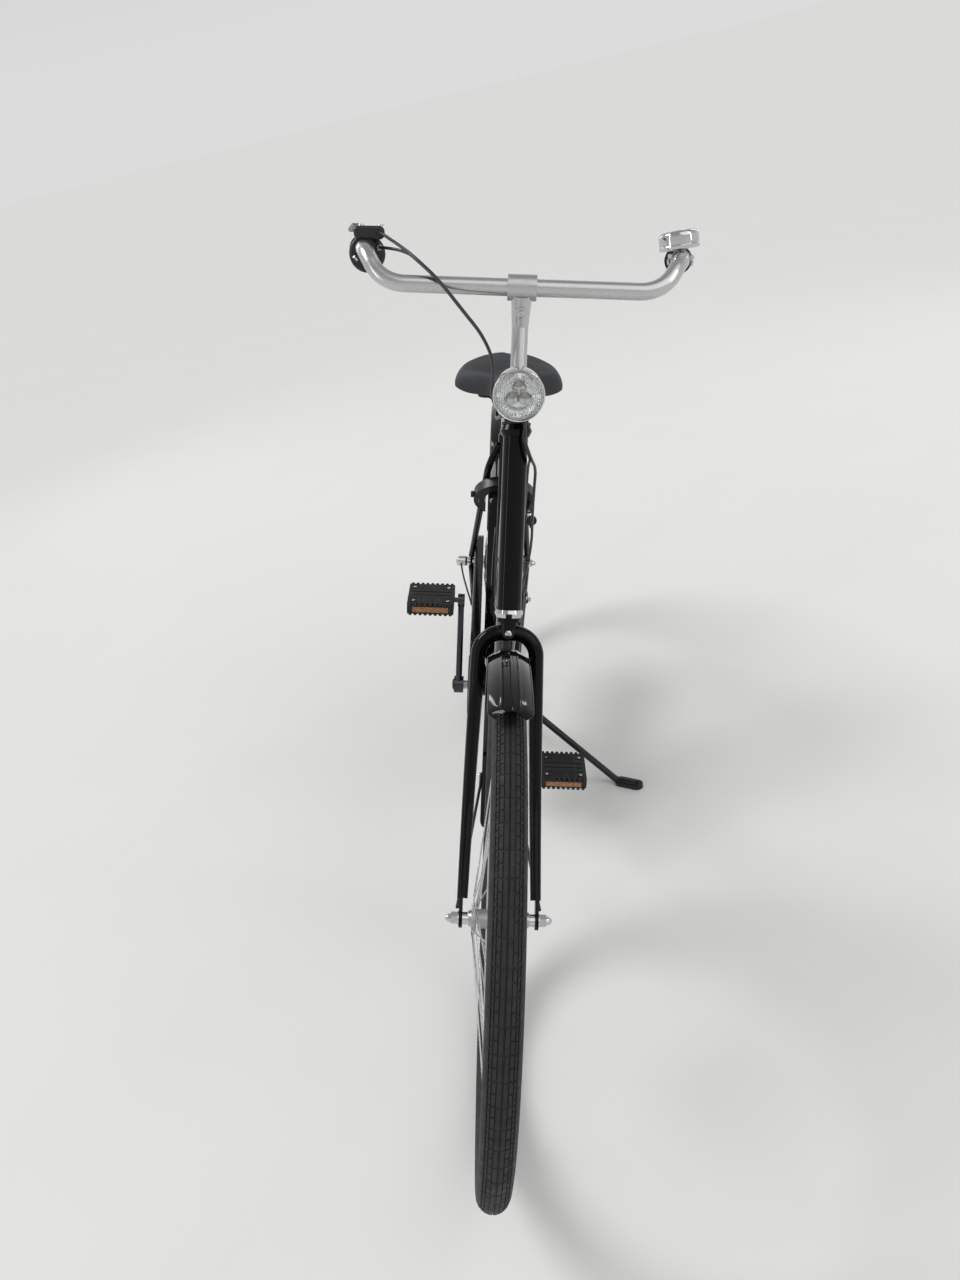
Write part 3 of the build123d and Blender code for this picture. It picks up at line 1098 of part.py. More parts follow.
def make_rear_details():
    seat = wheel_point(REAR_AXLE, GUARD_TOP_RADIUS + LAMP_SEAT_GAP, REAR_LAMP_ANGLE)
    lens = wheel_point(REAR_AXLE, GUARD_TOP_RADIUS + REAR_LAMP_DEPTH, REAR_LAMP_ANGLE)
    plane = Plane(origin=seat, x_dir=(1, 0, 0), z_dir=Vector(*lens) - Vector(*seat))
    face = plane * RectangleRounded(REAR_LAMP_WIDTH, REAR_LAMP_HEIGHT, REAR_LAMP_CORNER)
    nodes["rear_lamp"] = extrude(face, amount=REAR_LAMP_DEPTH)

    # The actuating lever lies between the drum's face and the arm and reaches the cable's end.
    lever_from = BRAKE_CABLE_END[0] - BRAKE_LEVER_THICKNESS / 2
    plane = Plane(origin=(lever_from, WHEELBASE, TYRE_RADIUS), x_dir=(0, 1, 0), z_dir=(1, 0, 0))
    outline = Polyline((4.7, 8.9), (-57.3, 34.7), (-61.1, 27.7), (-4.7, -8.9), close=True)
    lever = extrude(plane * make_face(outline), amount=BRAKE_LEVER_THICKNESS)
    lever -= across(REAR_AXLE, lever_from - 1, lever_from + BRAKE_LEVER_THICKNESS + 1,
                    AXLE_DIAMETER)
    barrel_at = (0, BRAKE_CABLE_END[1] + 4.8, BRAKE_CABLE_END[2] + 2.2)
    lever += across(barrel_at, BRAKE_CABLE_END[0] - BRAKE_BARREL_LENGTH / 2,
                    BRAKE_CABLE_END[0] + BRAKE_BARREL_LENGTH / 2, BRAKE_BARREL_DIAMETER)

    x_from = REAR_OVER_LOCKNUTS / 2 - BRAKE_ARM_THICKNESS - 0.5
    plane = Plane(origin=(x_from, WHEELBASE, TYRE_RADIUS), x_dir=(0, 1, 0), z_dir=(1, 0, 0))
    outline = Polyline((-14, -24), (18, -12), (18, 12), (-14, 14), close=True)
    arm = Polyline((-150, -40), (0, -24), (0, -8), (-150, -28), close=True)
    plate = extrude(plane * make_face(outline), amount=BRAKE_ARM_THICKNESS)
    plate += extrude(plane * make_face(arm), amount=BRAKE_ARM_THICKNESS)
    plate -= across(REAR_AXLE, x_from - 1, x_from + 6, 12)
    nodes["hub_brake"] = Compound(children=[nodes["hub_brake"] + lever, plate])


make_wheels()
make_fork()
make_headset()
make_stem()
make_handlebar()
make_brake_lever(make_shifter())
make_bell()
make_headlight()
make_mudguards()
make_frame()
make_rear_axle()
make_saddle()
make_ring_lock()
make_chain_case()
make_cranks()
make_stand()
make_cables()
make_rear_details()


# Lean everything over the line through the tyres' contacts, then put the origin
# on the ground under the middle of the whole.

def leaned(shape):
    return Rot(0, LEAN, 0) * shape


whole = Compound(children=[leaned(shape) for shape in nodes.values()]).bounding_box()
SHIFT = (-(whole.min.X + whole.max.X) / 2, -(whole.min.Y + whole.max.Y) / 2, -whole.min.Z)


def parked(shape):
    return Pos(*SHIFT) * leaned(shape)


os.makedirs("parts", exist_ok=True)
for node_name, node_shape in nodes.items():
    export_step(parked(node_shape), f"parts/{node_name}.step")

print("overall", [round(v, 1) for v in (whole.size.X, whole.size.Y, whole.size.Z)])
print("shift", [round(v, 3) for v in SHIFT], "tyre lift", round(TYRE_LIFT, 3))
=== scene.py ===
import json
import math

import bmesh
import bpy
import numpy as np
from bpy.props import FloatProperty, FloatVectorProperty, PointerProperty
from mathutils import Matrix, Vector


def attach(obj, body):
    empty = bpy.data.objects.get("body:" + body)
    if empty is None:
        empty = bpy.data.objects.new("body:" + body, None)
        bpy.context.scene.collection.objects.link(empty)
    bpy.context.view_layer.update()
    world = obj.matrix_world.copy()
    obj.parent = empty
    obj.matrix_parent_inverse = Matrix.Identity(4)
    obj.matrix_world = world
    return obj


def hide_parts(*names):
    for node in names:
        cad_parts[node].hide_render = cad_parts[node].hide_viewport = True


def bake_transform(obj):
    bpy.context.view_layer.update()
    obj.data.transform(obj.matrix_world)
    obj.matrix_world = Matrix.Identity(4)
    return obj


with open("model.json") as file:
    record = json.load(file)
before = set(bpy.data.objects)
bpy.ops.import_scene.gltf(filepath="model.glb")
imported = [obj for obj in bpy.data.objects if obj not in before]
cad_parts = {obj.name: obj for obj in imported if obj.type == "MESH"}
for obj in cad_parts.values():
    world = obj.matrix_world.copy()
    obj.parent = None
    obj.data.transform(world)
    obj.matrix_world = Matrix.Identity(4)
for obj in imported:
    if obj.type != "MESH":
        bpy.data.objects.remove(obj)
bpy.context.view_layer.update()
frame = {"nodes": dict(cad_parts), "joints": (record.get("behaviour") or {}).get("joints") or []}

bl_info = {
    "name": "Step-Through City Bicycle Looks",
    "version": (1, 0, 0),
    "blender": (4, 5, 0),
    "location": "3D View > Sidebar > Bicycle",
    "description": "Dresses a step-through city bicycle: tread, saddle, lamp, bell, cables and finishes",
    "category": "Object",
}

# The bicycle's own upright frame: x to the rider's left, y to the rear, z up, in metres,
# with its origin under the front wheel. The joints of the frame say where it is.

JOINTS = {joint["name"]: joint for joint in frame["joints"]}
FRONT_AXLE = np.array(JOINTS["front_wheel_spin"]["pos_m"])
REAR_AXLE = np.array(JOINTS["rear_wheel_spin"]["pos_m"])
LEFT = np.array(JOINTS["rear_wheel_spin"]["axis"])
BACK = np.array((0.0, 1.0, 0.0))
UP = np.cross(LEFT, BACK)
TYRE_RADIUS = 0.352
ORIGIN = FRONT_AXLE - TYRE_RADIUS * UP
WHEELBASE = float(REAR_AXLE[1] - FRONT_AXLE[1])
BRACKET = (0.0, float(JOINTS["crank_turn"]["pos_m"][1] - FRONT_AXLE[1]), 0.293)
HEAD_ANGLE = math.radians(66.9)
FORK_RAKE = 0.070


def unit(vector):
    """A vector's direction, with a length of 1."""
    vector = np.asarray(vector, float)
    return vector / np.linalg.norm(vector)


def parked(points):
    """Upright places turned into the part's leaning frame: origin plus x left, y back and z up."""
    points = np.asarray(points, float)
    return ORIGIN + points @ np.array((LEFT, BACK, UP))


def steering_point(height, forward=0.0, side=0.0):
    """An upright place by its height along the steering axis and its offset in front of it."""
    sine, cosine = math.sin(HEAD_ANGLE), math.cos(HEAD_ANGLE)
    return np.array((side, FORK_RAKE * sine + height * cosine - forward * sine,
                     TYRE_RADIUS - FORK_RAKE * cosine + height * sine + forward * cosine))


def upright(point):
    """Places of the part's leaning frame turned back into the upright frame."""
    return (np.asarray(point, float) - ORIGIN) @ np.array((LEFT, BACK, UP)).T


def wheel_point(axle_y, radius, angle, side=0.0):
    """Upright places beside a wheel, at angles in radians back from straight up."""
    y, z = axle_y + radius * np.sin(angle), TYRE_RADIUS + radius * np.cos(angle)
    return np.stack(np.broadcast_arrays(side, y, z), axis=-1)


BAR_CENTRE = steering_point(0.851, 0.025)


def bar_place(distance, side):
    """Where the grip line is at a distance from its end: the place and its right, up and out."""
    elbow = BAR_CENTRE + (side * 0.211, 0.037, 0.0355)
    end = BAR_CENTRE + (side * 0.243, 0.270, -0.002)
    out = unit(end - elbow)
    right = unit(np.cross((0.0, 0.0, 1.0), out))
    return end - out * distance, right, np.cross(out, right), out


# distances along the grip line from its end
SHIFTER_AT = 0.187
BELL_AT = 0.196
LEVER_AT = 0.202


def from_place(place, right, up, out):
    """A place by its offsets from one that bar_place gives."""
    origin, x_axis, y_axis, z_axis = place
    return origin + x_axis * right + y_axis * up + z_axis * out


# Meshes from arrays

def finish(name):
    """A finish by name; make_finishes must have made it."""
    return bpy.data.materials[name]


def put_mesh(name, points, faces, material, sharp_angle=40.0):
    """One mesh object at the origin from points (n, 3) and faces of three or more corners."""
    mesh = bpy.data.meshes.new(name)
    mesh.from_pydata(np.asarray(points, float), [], faces)
    mesh.validate()
    mesh.polygons.foreach_set("use_smooth", np.ones(len(mesh.polygons), bool))
    mesh.set_sharp_from_angle(angle=math.radians(sharp_angle))
    mesh.materials.append(material)
    piece = bpy.data.objects.new(name, mesh)
    bpy.context.scene.collection.objects.link(piece)
    return piece


def grid_faces(rows, columns, close_rows=False, close_columns=False):
    """The quads of a grid of rows by columns points, as an array of four corners each."""
    row_count = rows if close_rows else rows - 1
    column_count = columns if close_columns else columns - 1
    i, j = np.meshgrid(np.arange(row_count), np.arange(column_count), indexing="ij")
    next_i = (i + 1) % rows
    next_j = (j + 1) % columns
    quads = np.stack((i * columns + j, next_i * columns + j,
                      next_i * columns + next_j, i * columns + next_j), axis=-1)
    return quads.reshape(-1, 4)


class Shell:
    """Points and faces gathered from several surfaces that make one piece."""

    def __init__(self):
        self.points = []
        self.faces = []
        self.count = 0

    def add(self, points, faces):
        points = np.asarray(points, float).reshape(-1, 3)
        self.points.append(points)
        self.faces.extend((np.asarray(faces) + self.count).tolist())
        self.count += len(points)

    def add_grid(self, grid, close_rows=False, close_columns=False):
        grid = np.asarray(grid, float)
        rows, columns = grid.shape[:2]
        self.add(grid, grid_faces(rows, columns, close_rows, close_columns))

    def put(self, name, look, body, sharp_angle=35):
        """The piece from what was gathered, in a finish by name and riding on a body."""
        piece = put_mesh(name, parked(np.concatenate(self.points)), self.faces, finish(look), sharp_angle)
        outward(piece)
        if body:
            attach(piece, body)
        return piece


def mesh_places(mesh):
    """The places of a mesh's points as an array (n, 3)."""
    places = np.empty(len(mesh.vertices) * 3, np.float32)
    mesh.vertices.foreach_get("co", places)
    return places.reshape(-1, 3).astype(float)


def outward(piece):
    """Merges doubled points and turns each closed shell's faces outwards."""
    mesh = bmesh.new()
    mesh.from_mesh(piece.data)
    bmesh.ops.remove_doubles(mesh, verts=mesh.verts, dist=1e-6)
    bmesh.ops.recalc_face_normals(mesh, faces=mesh.faces)
    mesh.to_mesh(piece.data)
    mesh.free()


def frame_along(axis):
    """Two unit directions square to an axis and to each other."""
    axis = unit(axis)
    helper = (0.0, 0.0, 1.0) if abs(axis[2]) < 0.9 else (0.0, 1.0, 0.0)
    across = unit(np.cross(helper, axis))
    return axis, across, np.cross(axis, across)


def around(count):
    """The angles of a full turn in equal steps."""
    return np.linspace(0, 2 * math.pi, count, endpoint=False)


def circle(angle, across, upward):
    """Places on a circle of radius 1 at angles from one direction towards another."""
    return np.cos(angle)[:, None] * across + np.sin(angle)[:, None] * upward


def swell(along, middle, width):
    """A smooth swell, 1 at its middle and 0 well away from it: exp(-((along - middle) / width)^2)."""
    return np.exp(-((along - middle) / width) ** 2)


def ribs(along, pitch, height):
    """Rounded ribs side by side: half the height times (1 + cosine), once in each pitch."""
    return height * (0.5 + 0.5 * np.cos(2 * math.pi * along / pitch))


def turned(shell, origin, axis, profile, segments):
    """A lathe surface: a profile of (distance along the axis, radius) pairs in millimetres is
    turned about the axis, so a point is origin + distance axis + radius (cos a, sin a)."""
    axis, across, upward = frame_along(axis)
    profile = np.asarray(profile, float) / 1000
    ring = circle(around(segments), across, upward)
    grid = (np.asarray(origin, float) + profile[:, None, 0:1] * axis
            + profile[:, None, 1:2] * ring[None, :, :])
    shell.add_grid(grid, close_columns=True)


def tube(shell, path, radius, sides):
    """A round tube: a circle carried along a path by turning the frame as little as possible."""
    path = np.asarray(path, float)
    ahead = np.gradient(path, axis=0)
    ahead /= np.linalg.norm(ahead, axis=1)[:, None]
    across = frame_along(ahead[0])[1]
    angle = around(sides)
    rings = []
    for place, direction in zip(path, ahead):
        across = unit(across - direction * np.dot(across, direction))
        rings.append(place + radius * circle(angle, across, np.cross(direction, across)))
    start = shell.count
    shell.add_grid(np.array(rings), close_columns=True)
    last = start + (len(path) - 1) * sides
    shell.faces.append([start + k for k in range(sides)][::-1])
    shell.faces.append([last + k for k in range(sides)])


# Finishes, each a material made of nodes that read Object coordinates

# sockets of the Mix node when it mixes colours
MIX_AMOUNT, MIX_FIRST_COLOR, MIX_SECOND_COLOR, MIX_RESULT_COLOR = 0, 6, 7, 2


def add_node(tree, kind, output, inputs, **settings):
    """A node of a kind with its settings, its inputs set or linked, and one of its outputs."""
    node = tree.nodes.new("ShaderNode" + kind)
    for label, value in settings.items():
        setattr(node, label, value)
    for label, value in inputs.items():
        if isinstance(value, bpy.types.NodeSocket):
            tree.links.new(value, node.inputs[label])
        else:
            node.inputs[label].default_value = value
    return node.outputs[output] if output is not None else node


def add_ramp(tree, source, stops):
    """Colours or grey values at places from 0 to 1."""
    color = add_node(tree, "ValToRGB", "Color", {"Fac": source})
    elements = color.node.color_ramp.elements
    while len(elements) < len(stops):
        elements.new(0.5)
    for element, (place, value) in zip(elements, stops):
        element.position = place
        element.color = (value, value, value, 1) if np.isscalar(value) else (*value, 1)
    return color


class Finish:
    """Builds one node material step by step; a method that makes a node returns its output."""

    def __init__(self, name, color, roughness=0.5, metallic=0.0):
        self.material = bpy.data.materials.new(name)
        self.material.use_nodes = True
        self.material.diffuse_color = (*color, 1)
        self.tree = self.material.node_tree
        self.tree.nodes.clear()
        surface = self.node("BsdfPrincipled", "BSDF", {
            "Base Color": (*color, 1), "Roughness": roughness, "Metallic": metallic})
        self.shader = surface.node
        self.node("OutputMaterial", None, {"Surface": surface})
        self.place = self.node("TexCoord", "Object", {})

    def node(self, kind, output, inputs, **settings):
        return add_node(self.tree, kind, output, inputs, **settings)

    def set(self, **values):
        for label, value in values.items():
            self.shader.inputs[label.replace("_", " ")].default_value = value
        return self

    def drive(self, label, source):
        self.tree.links.new(source, self.shader.inputs[label])

    def noise(self, scale, detail=4.0, roughness=0.55, source=None):
        return self.node("TexNoise", "Fac", {
            "Scale": scale, "Detail": detail, "Roughness": roughness, "Vector": source or self.place})

    def cells(self, scale, feature="F1"):
        return self.node("TexVoronoi", "Distance", {"Scale": scale, "Vector": self.place}, feature=feature)

    def ramp(self, source, stops):
        return add_ramp(self.tree, source, stops)

    def spots(self, scale, detail, roughness, low, high, most):
        """Nothing where a noise is under low, rising to most where it is over high."""
        return self.ramp(self.noise(scale, detail, roughness), [(low, 0.0), (high, most)])

    def math(self, operation, a, b):
        return self.node("Math", "Value", {0: a, 1: b}, operation=operation)

    def blend(self, amount, a, b):
        """From colour a to colour b by an amount."""
        return self.node("Mix", MIX_RESULT_COLOR, {
            MIX_AMOUNT: amount, MIX_FIRST_COLOR: (*a, 1), MIX_SECOND_COLOR: (*b, 1)}, data_type="RGBA")

    def facing_up(self, low, high):
        """How far a surface faces up, from 0 under low to 1 over high: where dust settles."""
        up = self.node("SeparateXYZ", "Z", {"Vector": self.node("NewGeometry", "Normal", {})})
        return self.node("MapRange", "Result", {"From Min": low, "From Max": high, "Value": up})

    def bump(self, height, strength, distance):
        self.drive("Normal", self.node("Bump", "Normal", {
            "Strength": strength, "Distance": distance, "Height": height}))


def make_paint(name, color, roughness, level, dust):
    """Deep gloss: a dark base under a clear film, the finest ripple, and a breath of dust on top faces."""
    paint = Finish(name, color, roughness).set(Specular_IOR_Level=level)
    settled = paint.math("MULTIPLY", paint.facing_up(0.3, 0.98), paint.spots(34, 7, 0.68, 0.45, 0.75, dust))
    paint.drive("Base Color", paint.blend(settled, color, (0.30, 0.28, 0.25)))
    waves = paint.noise(26, 6, 0.6)
    paint.drive("Roughness", paint.ramp(waves, [(0.35, roughness), (0.78, roughness * 1.9)]))
    paint.bump(paint.noise(240, 2), 0.05, 0.0002)


def make_metal(name, color, roughness, grime, streak=None):
    """Metal with a little grime in spots and, where it is brushed, fine lines along it."""
    metal = Finish(name, color, roughness, 1.0)
    spots = metal.spots(170, 8, 0.72, 0.56, 0.82, grime)
    metal.drive("Base Color", metal.blend(spots, color, (0.17, 0.15, 0.13)))
    source = metal.node("Mapping", "Vector", {"Scale": streak, "Vector": metal.place}) if streak else None
    gloss = metal.noise(110, 6, 0.6, source)
    metal.drive("Roughness", metal.ramp(gloss, [(0.3, roughness * 0.8), (0.75, roughness * 1.3)]))


def make_matt(name, color, roughness, level, gloss, grain, dust=None, clean=None, dirty=None):
    """Rubber, vinyl, plastic or satin paint: dust in spots, a gloss that wanders and a fine grain."""
    matt = Finish(name, color, roughness).set(Specular_IOR_Level=level)
    if dust:
        matt.drive("Base Color", matt.blend(matt.spots(*dust), clean, dirty))
    scale, smooth, rough = gloss
    matt.drive("Roughness", matt.ramp(matt.noise(scale, 5), [(0.3, smooth), (0.75, rough)]))
    if grain:
        kind, scale, detail, strength, distance = grain
        height = matt.noise(scale, detail) if kind == "noise" else matt.cells(scale, kind)
        matt.bump(height, strength, distance)


def make_reflector(name, color, roughness, light, dark, scale, strength):
    """A clear-coated lens of small facets, light in the middle of each facet and dark at its edge."""
    lens = Finish(name, color, roughness).set(Coat_Weight=1.0, Coat_Roughness=0.03)
    facets = lens.cells(scale)
    lens.drive("Base Color", lens.ramp(facets, [(0.1, light), (0.7, dark)]))
    lens.bump(facets, strength, 0.0008)


# name, colour, roughness, specular level, dust
PAINTS = (
    ("gloss_black_paint", (0.0030, 0.0030, 0.0036), 0.06, 0.16, 0.035),
    ("mudguard_paint", (0.0050, 0.0045, 0.0041), 0.045, 0.20, 0.012),
    ("glossy_case", (0.0040, 0.0040, 0.0045), 0.07, 0.22, 0.035),
)
# name, colour, roughness, grime and, where it is brushed, the stretch of its lines
METALS = (
    ("chrome", (0.58, 0.58, 0.59), 0.06, 0.20),
    ("satin_aluminium", (0.55, 0.55, 0.55), 0.26, 0.05, (0.08, 1.0, 1.0)),
    ("cast_aluminium", (0.52, 0.52, 0.52), 0.32, 0.08),
    ("dark_steel", (0.060, 0.060, 0.070), 0.12, 0.10),
    ("rim_metal", (0.50, 0.50, 0.51), 0.24, 0.25),
    ("spoke_steel", (0.58, 0.58, 0.59), 0.24, 0.25),
    ("hub_metal", (0.46, 0.46, 0.46), 0.34, 0.30),
    ("bronze_drum", (0.36, 0.22, 0.11), 0.32, 0.35),
)
# name, colour, roughness, specular level, gloss as (scale, smooth, rough),
# grain as (kind, scale, detail, strength, distance), and dust as in spots() with its two colours
MATTS = (
    ("satin_black_paint", (0.009, 0.009, 0.010), 0.32, 0.4, (90, 0.26, 0.42),
     ("noise", 700, 3, 0.10, 0.0002)),
    ("tyre_rubber", (0.020, 0.020, 0.021), 0.66, 0.35, (80, 0.56, 0.82), ("noise", 900, 4, 0.22, 0.0003),
     (45, 8, 0.7, 0.40, 0.78, 0.22), (0.017, 0.017, 0.018), (0.085, 0.080, 0.073)),
    ("soft_rubber", (0.014, 0.014, 0.015), 0.58, 0.4, (60, 0.50, 0.70), ("noise", 800, 3, 0.2, 0.0002),
     (70, 7, 0.7, 0.45, 0.82, 0.2), (0.012, 0.012, 0.013), (0.060, 0.057, 0.053)),
    ("saddle_vinyl", (0.017, 0.020, 0.024), 0.56, 0.35, (30, 0.50, 0.64), ("F2", 900, 0, 0.22, 0.0003),
     (14, 6, 0.55, 0.4, 0.8, 0.10), (0.016, 0.019, 0.023), (0.055, 0.058, 0.062)),
    ("black_plastic", (0.011, 0.011, 0.012), 0.33, 0.45, (70, 0.26, 0.42),
     ("noise", 1100, 2, 0.10, 0.0002)),
    ("cable_housing", (0.020, 0.020, 0.022), 0.30, 0.6, (130, 0.24, 0.40), None,
     (60, 6, 0.55, 0.4, 0.8, 0.3), (0.017, 0.017, 0.019), (0.045, 0.044, 0.043)),
)
# name, colour, roughness, light and dark colour of the facets, their scale and their relief
REFLECTORS = (
    ("amber_reflector", (0.40, 0.14, 0.015), 0.14, (0.50, 0.19, 0.02), (0.17, 0.055, 0.007), 420, 0.6),
    ("red_lens", (0.42, 0.008, 0.008), 0.10, (0.5, 0.012, 0.012), (0.16, 0.004, 0.004), 380, 0.5),
)
GEAR_BOX_FRONT = float(REAR_AXLE[1]) - 0.0122


def make_finishes():
    """Every finish of the bicycle, as a material with its name."""
    makers = ((make_paint, PAINTS), (make_metal, METALS), (make_matt, MATTS), (make_reflector, REFLECTORS))
    for make, rows in makers:
        for row in rows:
            make(*row)

    # the gear-change box is bright, and the bracket in front of it on the same piece is black
    gear = Finish("gear_box_chrome", (0.60, 0.60, 0.61), 0.07, 1.0)
    back = gear.node("SeparateXYZ", "Y", {"Vector": gear.place})
    box = gear.math("GREATER_THAN", back, GEAR_BOX_FRONT)
    gear.drive("Metallic", box)
    gear.drive("Base Color", gear.blend(box, (0.016, 0.016, 0.017), (0.60, 0.60, 0.61)))
    shine = gear.math("ADD", gear.math("MULTIPLY", box, 0.6), gear.noise(90, 4))
    gear.drive("Roughness", gear.ramp(shine, [(0.4, 0.42), (1.0, 0.07)]))

    glass = Finish("clear_lens", (0.97, 0.98, 0.98), 0.02).set(Transmission_Weight=1.0, IOR=1.49)
    glass.drive("Roughness", glass.ramp(glass.noise(90, 4), [(0.4, 0.01), (0.8, 0.04)]))

    mirror = Finish("lamp_mirror", (0.82, 0.82, 0.83), 0.05, 1.0)
    mirror.drive("Roughness", mirror.ramp(mirror.noise(120, 4), [(0.4, 0.04), (0.8, 0.09)]))

    led = Finish("led_yellow", (0.9, 0.75, 0.25), 0.25)
    led.drive("Base Color", led.ramp(led.noise(600, 3), [(0.3, (0.93, 0.91, 0.76)),
                                                         (0.7, (0.76, 0.72, 0.52))]))


# The finish of each node that comes with the frame

NODE_FINISHES = {
    "gloss_black_paint": [
        "head_tube", "seat_tube", "down_tube", "top_tube", "bottom_bracket_shell", "chain_stay_left",
        "chain_stay_right", "seat_stay_left", "seat_stay_right", "rear_dropouts", "fork",
        "headset_upper_cup", "headset_locknut"],
    "mudguard_paint": ["front_mudguard", "rear_mudguard"],
    "satin_black_paint": [
        "side_stand", "stand_bracket", "front_mudguard_stays", "rear_mudguard_stays", "headlight_bracket"],
    "glossy_case": ["chain_case"],
    "black_plastic": ["gear_shifter", "brake_lever", "ring_lock", "lock_key", "saddle_frame"],
    "chrome": ["headset_lower_ring", "front_axle", "rear_axle", "bell", "headlight_shell", "seat_post"],
    "dark_steel": ["crank_left", "crank_right"],
    "gear_box_chrome": ["gear_change_box"],
    "cable_housing": ["control_cables_bar", "brake_cable_frame", "gear_cable_frame"],
    "cast_aluminium": ["stem"],
    "satin_aluminium": ["handlebar"],
    "hub_metal": ["front_hub", "rear_hub", "crank_spindle"],
    "rim_metal": ["front_rim", "rear_rim"],
    "spoke_steel": ["front_spokes", "rear_spokes"],
    "bronze_drum": ["hub_brake"],
    "tyre_rubber": ["front_tyre", "rear_tyre"],
    "soft_rubber": ["grip_left", "grip_right", "pedal_left", "pedal_right"],
    "saddle_vinyl": ["saddle_cover"],
    "amber_reflector": ["pedal_left_reflectors", "pedal_right_reflectors"],
    "red_lens": ["rear_lamp"],
    "clear_lens": ["headlight_lens"],
    "lamp_mirror": ["headlight_reflector"],
}


# Wheels: tread, nipples and valves

TREAD_PERIOD_COUNT = 74
# places on the plain wall outside the tread, by arc length from the tyre's middle in millimetres
TREAD_WALL = (20.3, 26.0, 33.0, 39.5, 43.0)
RIM_SEAT_RADIUS = 0.2968
VALVE_ANGLE = 205
# groove centre from the tyre's middle, half width, depth, in millimetres
TREAD_GROOVES = ((0.0, 1.1, 1.6), (6.4, 0.6, 1.2), (12.2, 0.7, 1.3), (16.8, 0.9, 1.4))
# rib's inner and outer edge, the cuts across it as (start share of the period, width share), depth
TREAD_CUTS = (
    (1.1, 5.8, ((0.47, 0.07),), 0.7),
    (7.0, 11.5, ((0.0, 0.065), (0.5, 0.065)), 1.2),
    (12.9, 15.9, ((0.22, 0.07), (0.47, 0.07), (0.72, 0.07), (0.97, 0.03)), 1.2),
    (17.7, 20.0, ((0.10, 0.12), (0.60, 0.12)), 0.9),
)


# radius of the tyre's round section, of the circle that its middle makes, and of the bead's foot, and
# half of the distance between the beads
TYRE_SECTION = 0.021
TYRE_CENTRE = 0.331
BEAD_RADIUS = 0.3112
BEAD_HALF = 0.0098


def tyre_surface(shell, axle_y):
    """A ring whose section is a circle of angle a from the crown, carried round the wheel at
    angle b: radius = centre + (section - groove depth) cos a, across = (section - depth) sin a.
    The depth is read from the rib table by arc length across and by share of the period round."""
    edge = 0.12
    across = {0.0, *TREAD_WALL}
    for middle, half, _ in TREAD_GROOVES:
        across.update(middle + half * s + edge * t for s in (-1, 1) for t in (-1, 1))
    across = np.array(sorted(value for value in across if value >= 0))
    across = np.concatenate((-across[:0:-1], across))
    shares = {0.0}
    for _, _, cuts, _ in TREAD_CUTS:
        for start, width in cuts:
            for end in (start, start + width):
                shares.update((round((end - 0.006) % 1.0, 4), round((end + 0.006) % 1.0, 4)))
    shares = np.array(sorted(shares))
    turn = (np.arange(TREAD_PERIOD_COUNT)[:, None] + shares[None, :]).reshape(-1)
    share = np.tile(shares, TREAD_PERIOD_COUNT)
    depth = np.zeros((len(turn), len(across)))
    size = np.abs(across)
    for middle, half, deep in TREAD_GROOVES:
        inside = np.clip((half + edge - np.abs(size - middle)) / (2 * edge), 0, 1)
        depth = np.maximum(depth, deep * inside[None, :])
    for low, high, cuts, deep in TREAD_CUTS:
        in_rib = (size >= low - edge) & (size <= high + edge)
        for start, width in cuts:
            place = (share[:, None] - start) % 1.0
            inside = (place > 0.003) & (place < width + 0.003)
            depth = np.maximum(depth, deep * inside * in_rib[None, :])
    angle = across * 1e-3 / TYRE_SECTION
    radius_here = TYRE_SECTION - depth * 1e-3
    x = radius_here * np.sin(angle)[None, :]
    r = TYRE_CENTRE + radius_here * np.cos(angle)[None, :]
    bead_x = np.array((BEAD_HALF, -BEAD_HALF))
    x = np.concatenate((x, np.broadcast_to(bead_x, (len(turn), 2))), axis=1)
    r = np.concatenate((r, np.full((len(turn), 2), BEAD_RADIUS)), axis=1)
    wheel_angle = 2 * math.pi * turn / TREAD_PERIOD_COUNT
    grid = wheel_point(axle_y, r, wheel_angle[:, None], x)
    shell.add_grid(grid, close_rows=True, close_columns=True)


class BICYCLE_OT_tyres(bpy.types.Operator):
    """Treaded tyres: lengthwise ribs cut into staggered blocks, over plain walls"""
    bl_idname = "bicycle.tyres"
    bl_label = "Tyres"

    def execute(self, context):
        for end, axle_y in (("front", 0.0), ("rear", WHEELBASE)):
            shell = Shell()
            tyre_surface(shell, axle_y)
            piece = shell.put(f"{end}_tyre_tread", "tyre_rubber", f"{end}_wheel", 30)
            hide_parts(f"{end}_tyre")
        return {"FINISHED"}


# lean round the hub, place beside the flange's middle, place across the rim
SPOKE_FAMILIES = ((1, 0.0039, 0.0052), (-1, -0.0027, 0.0012))


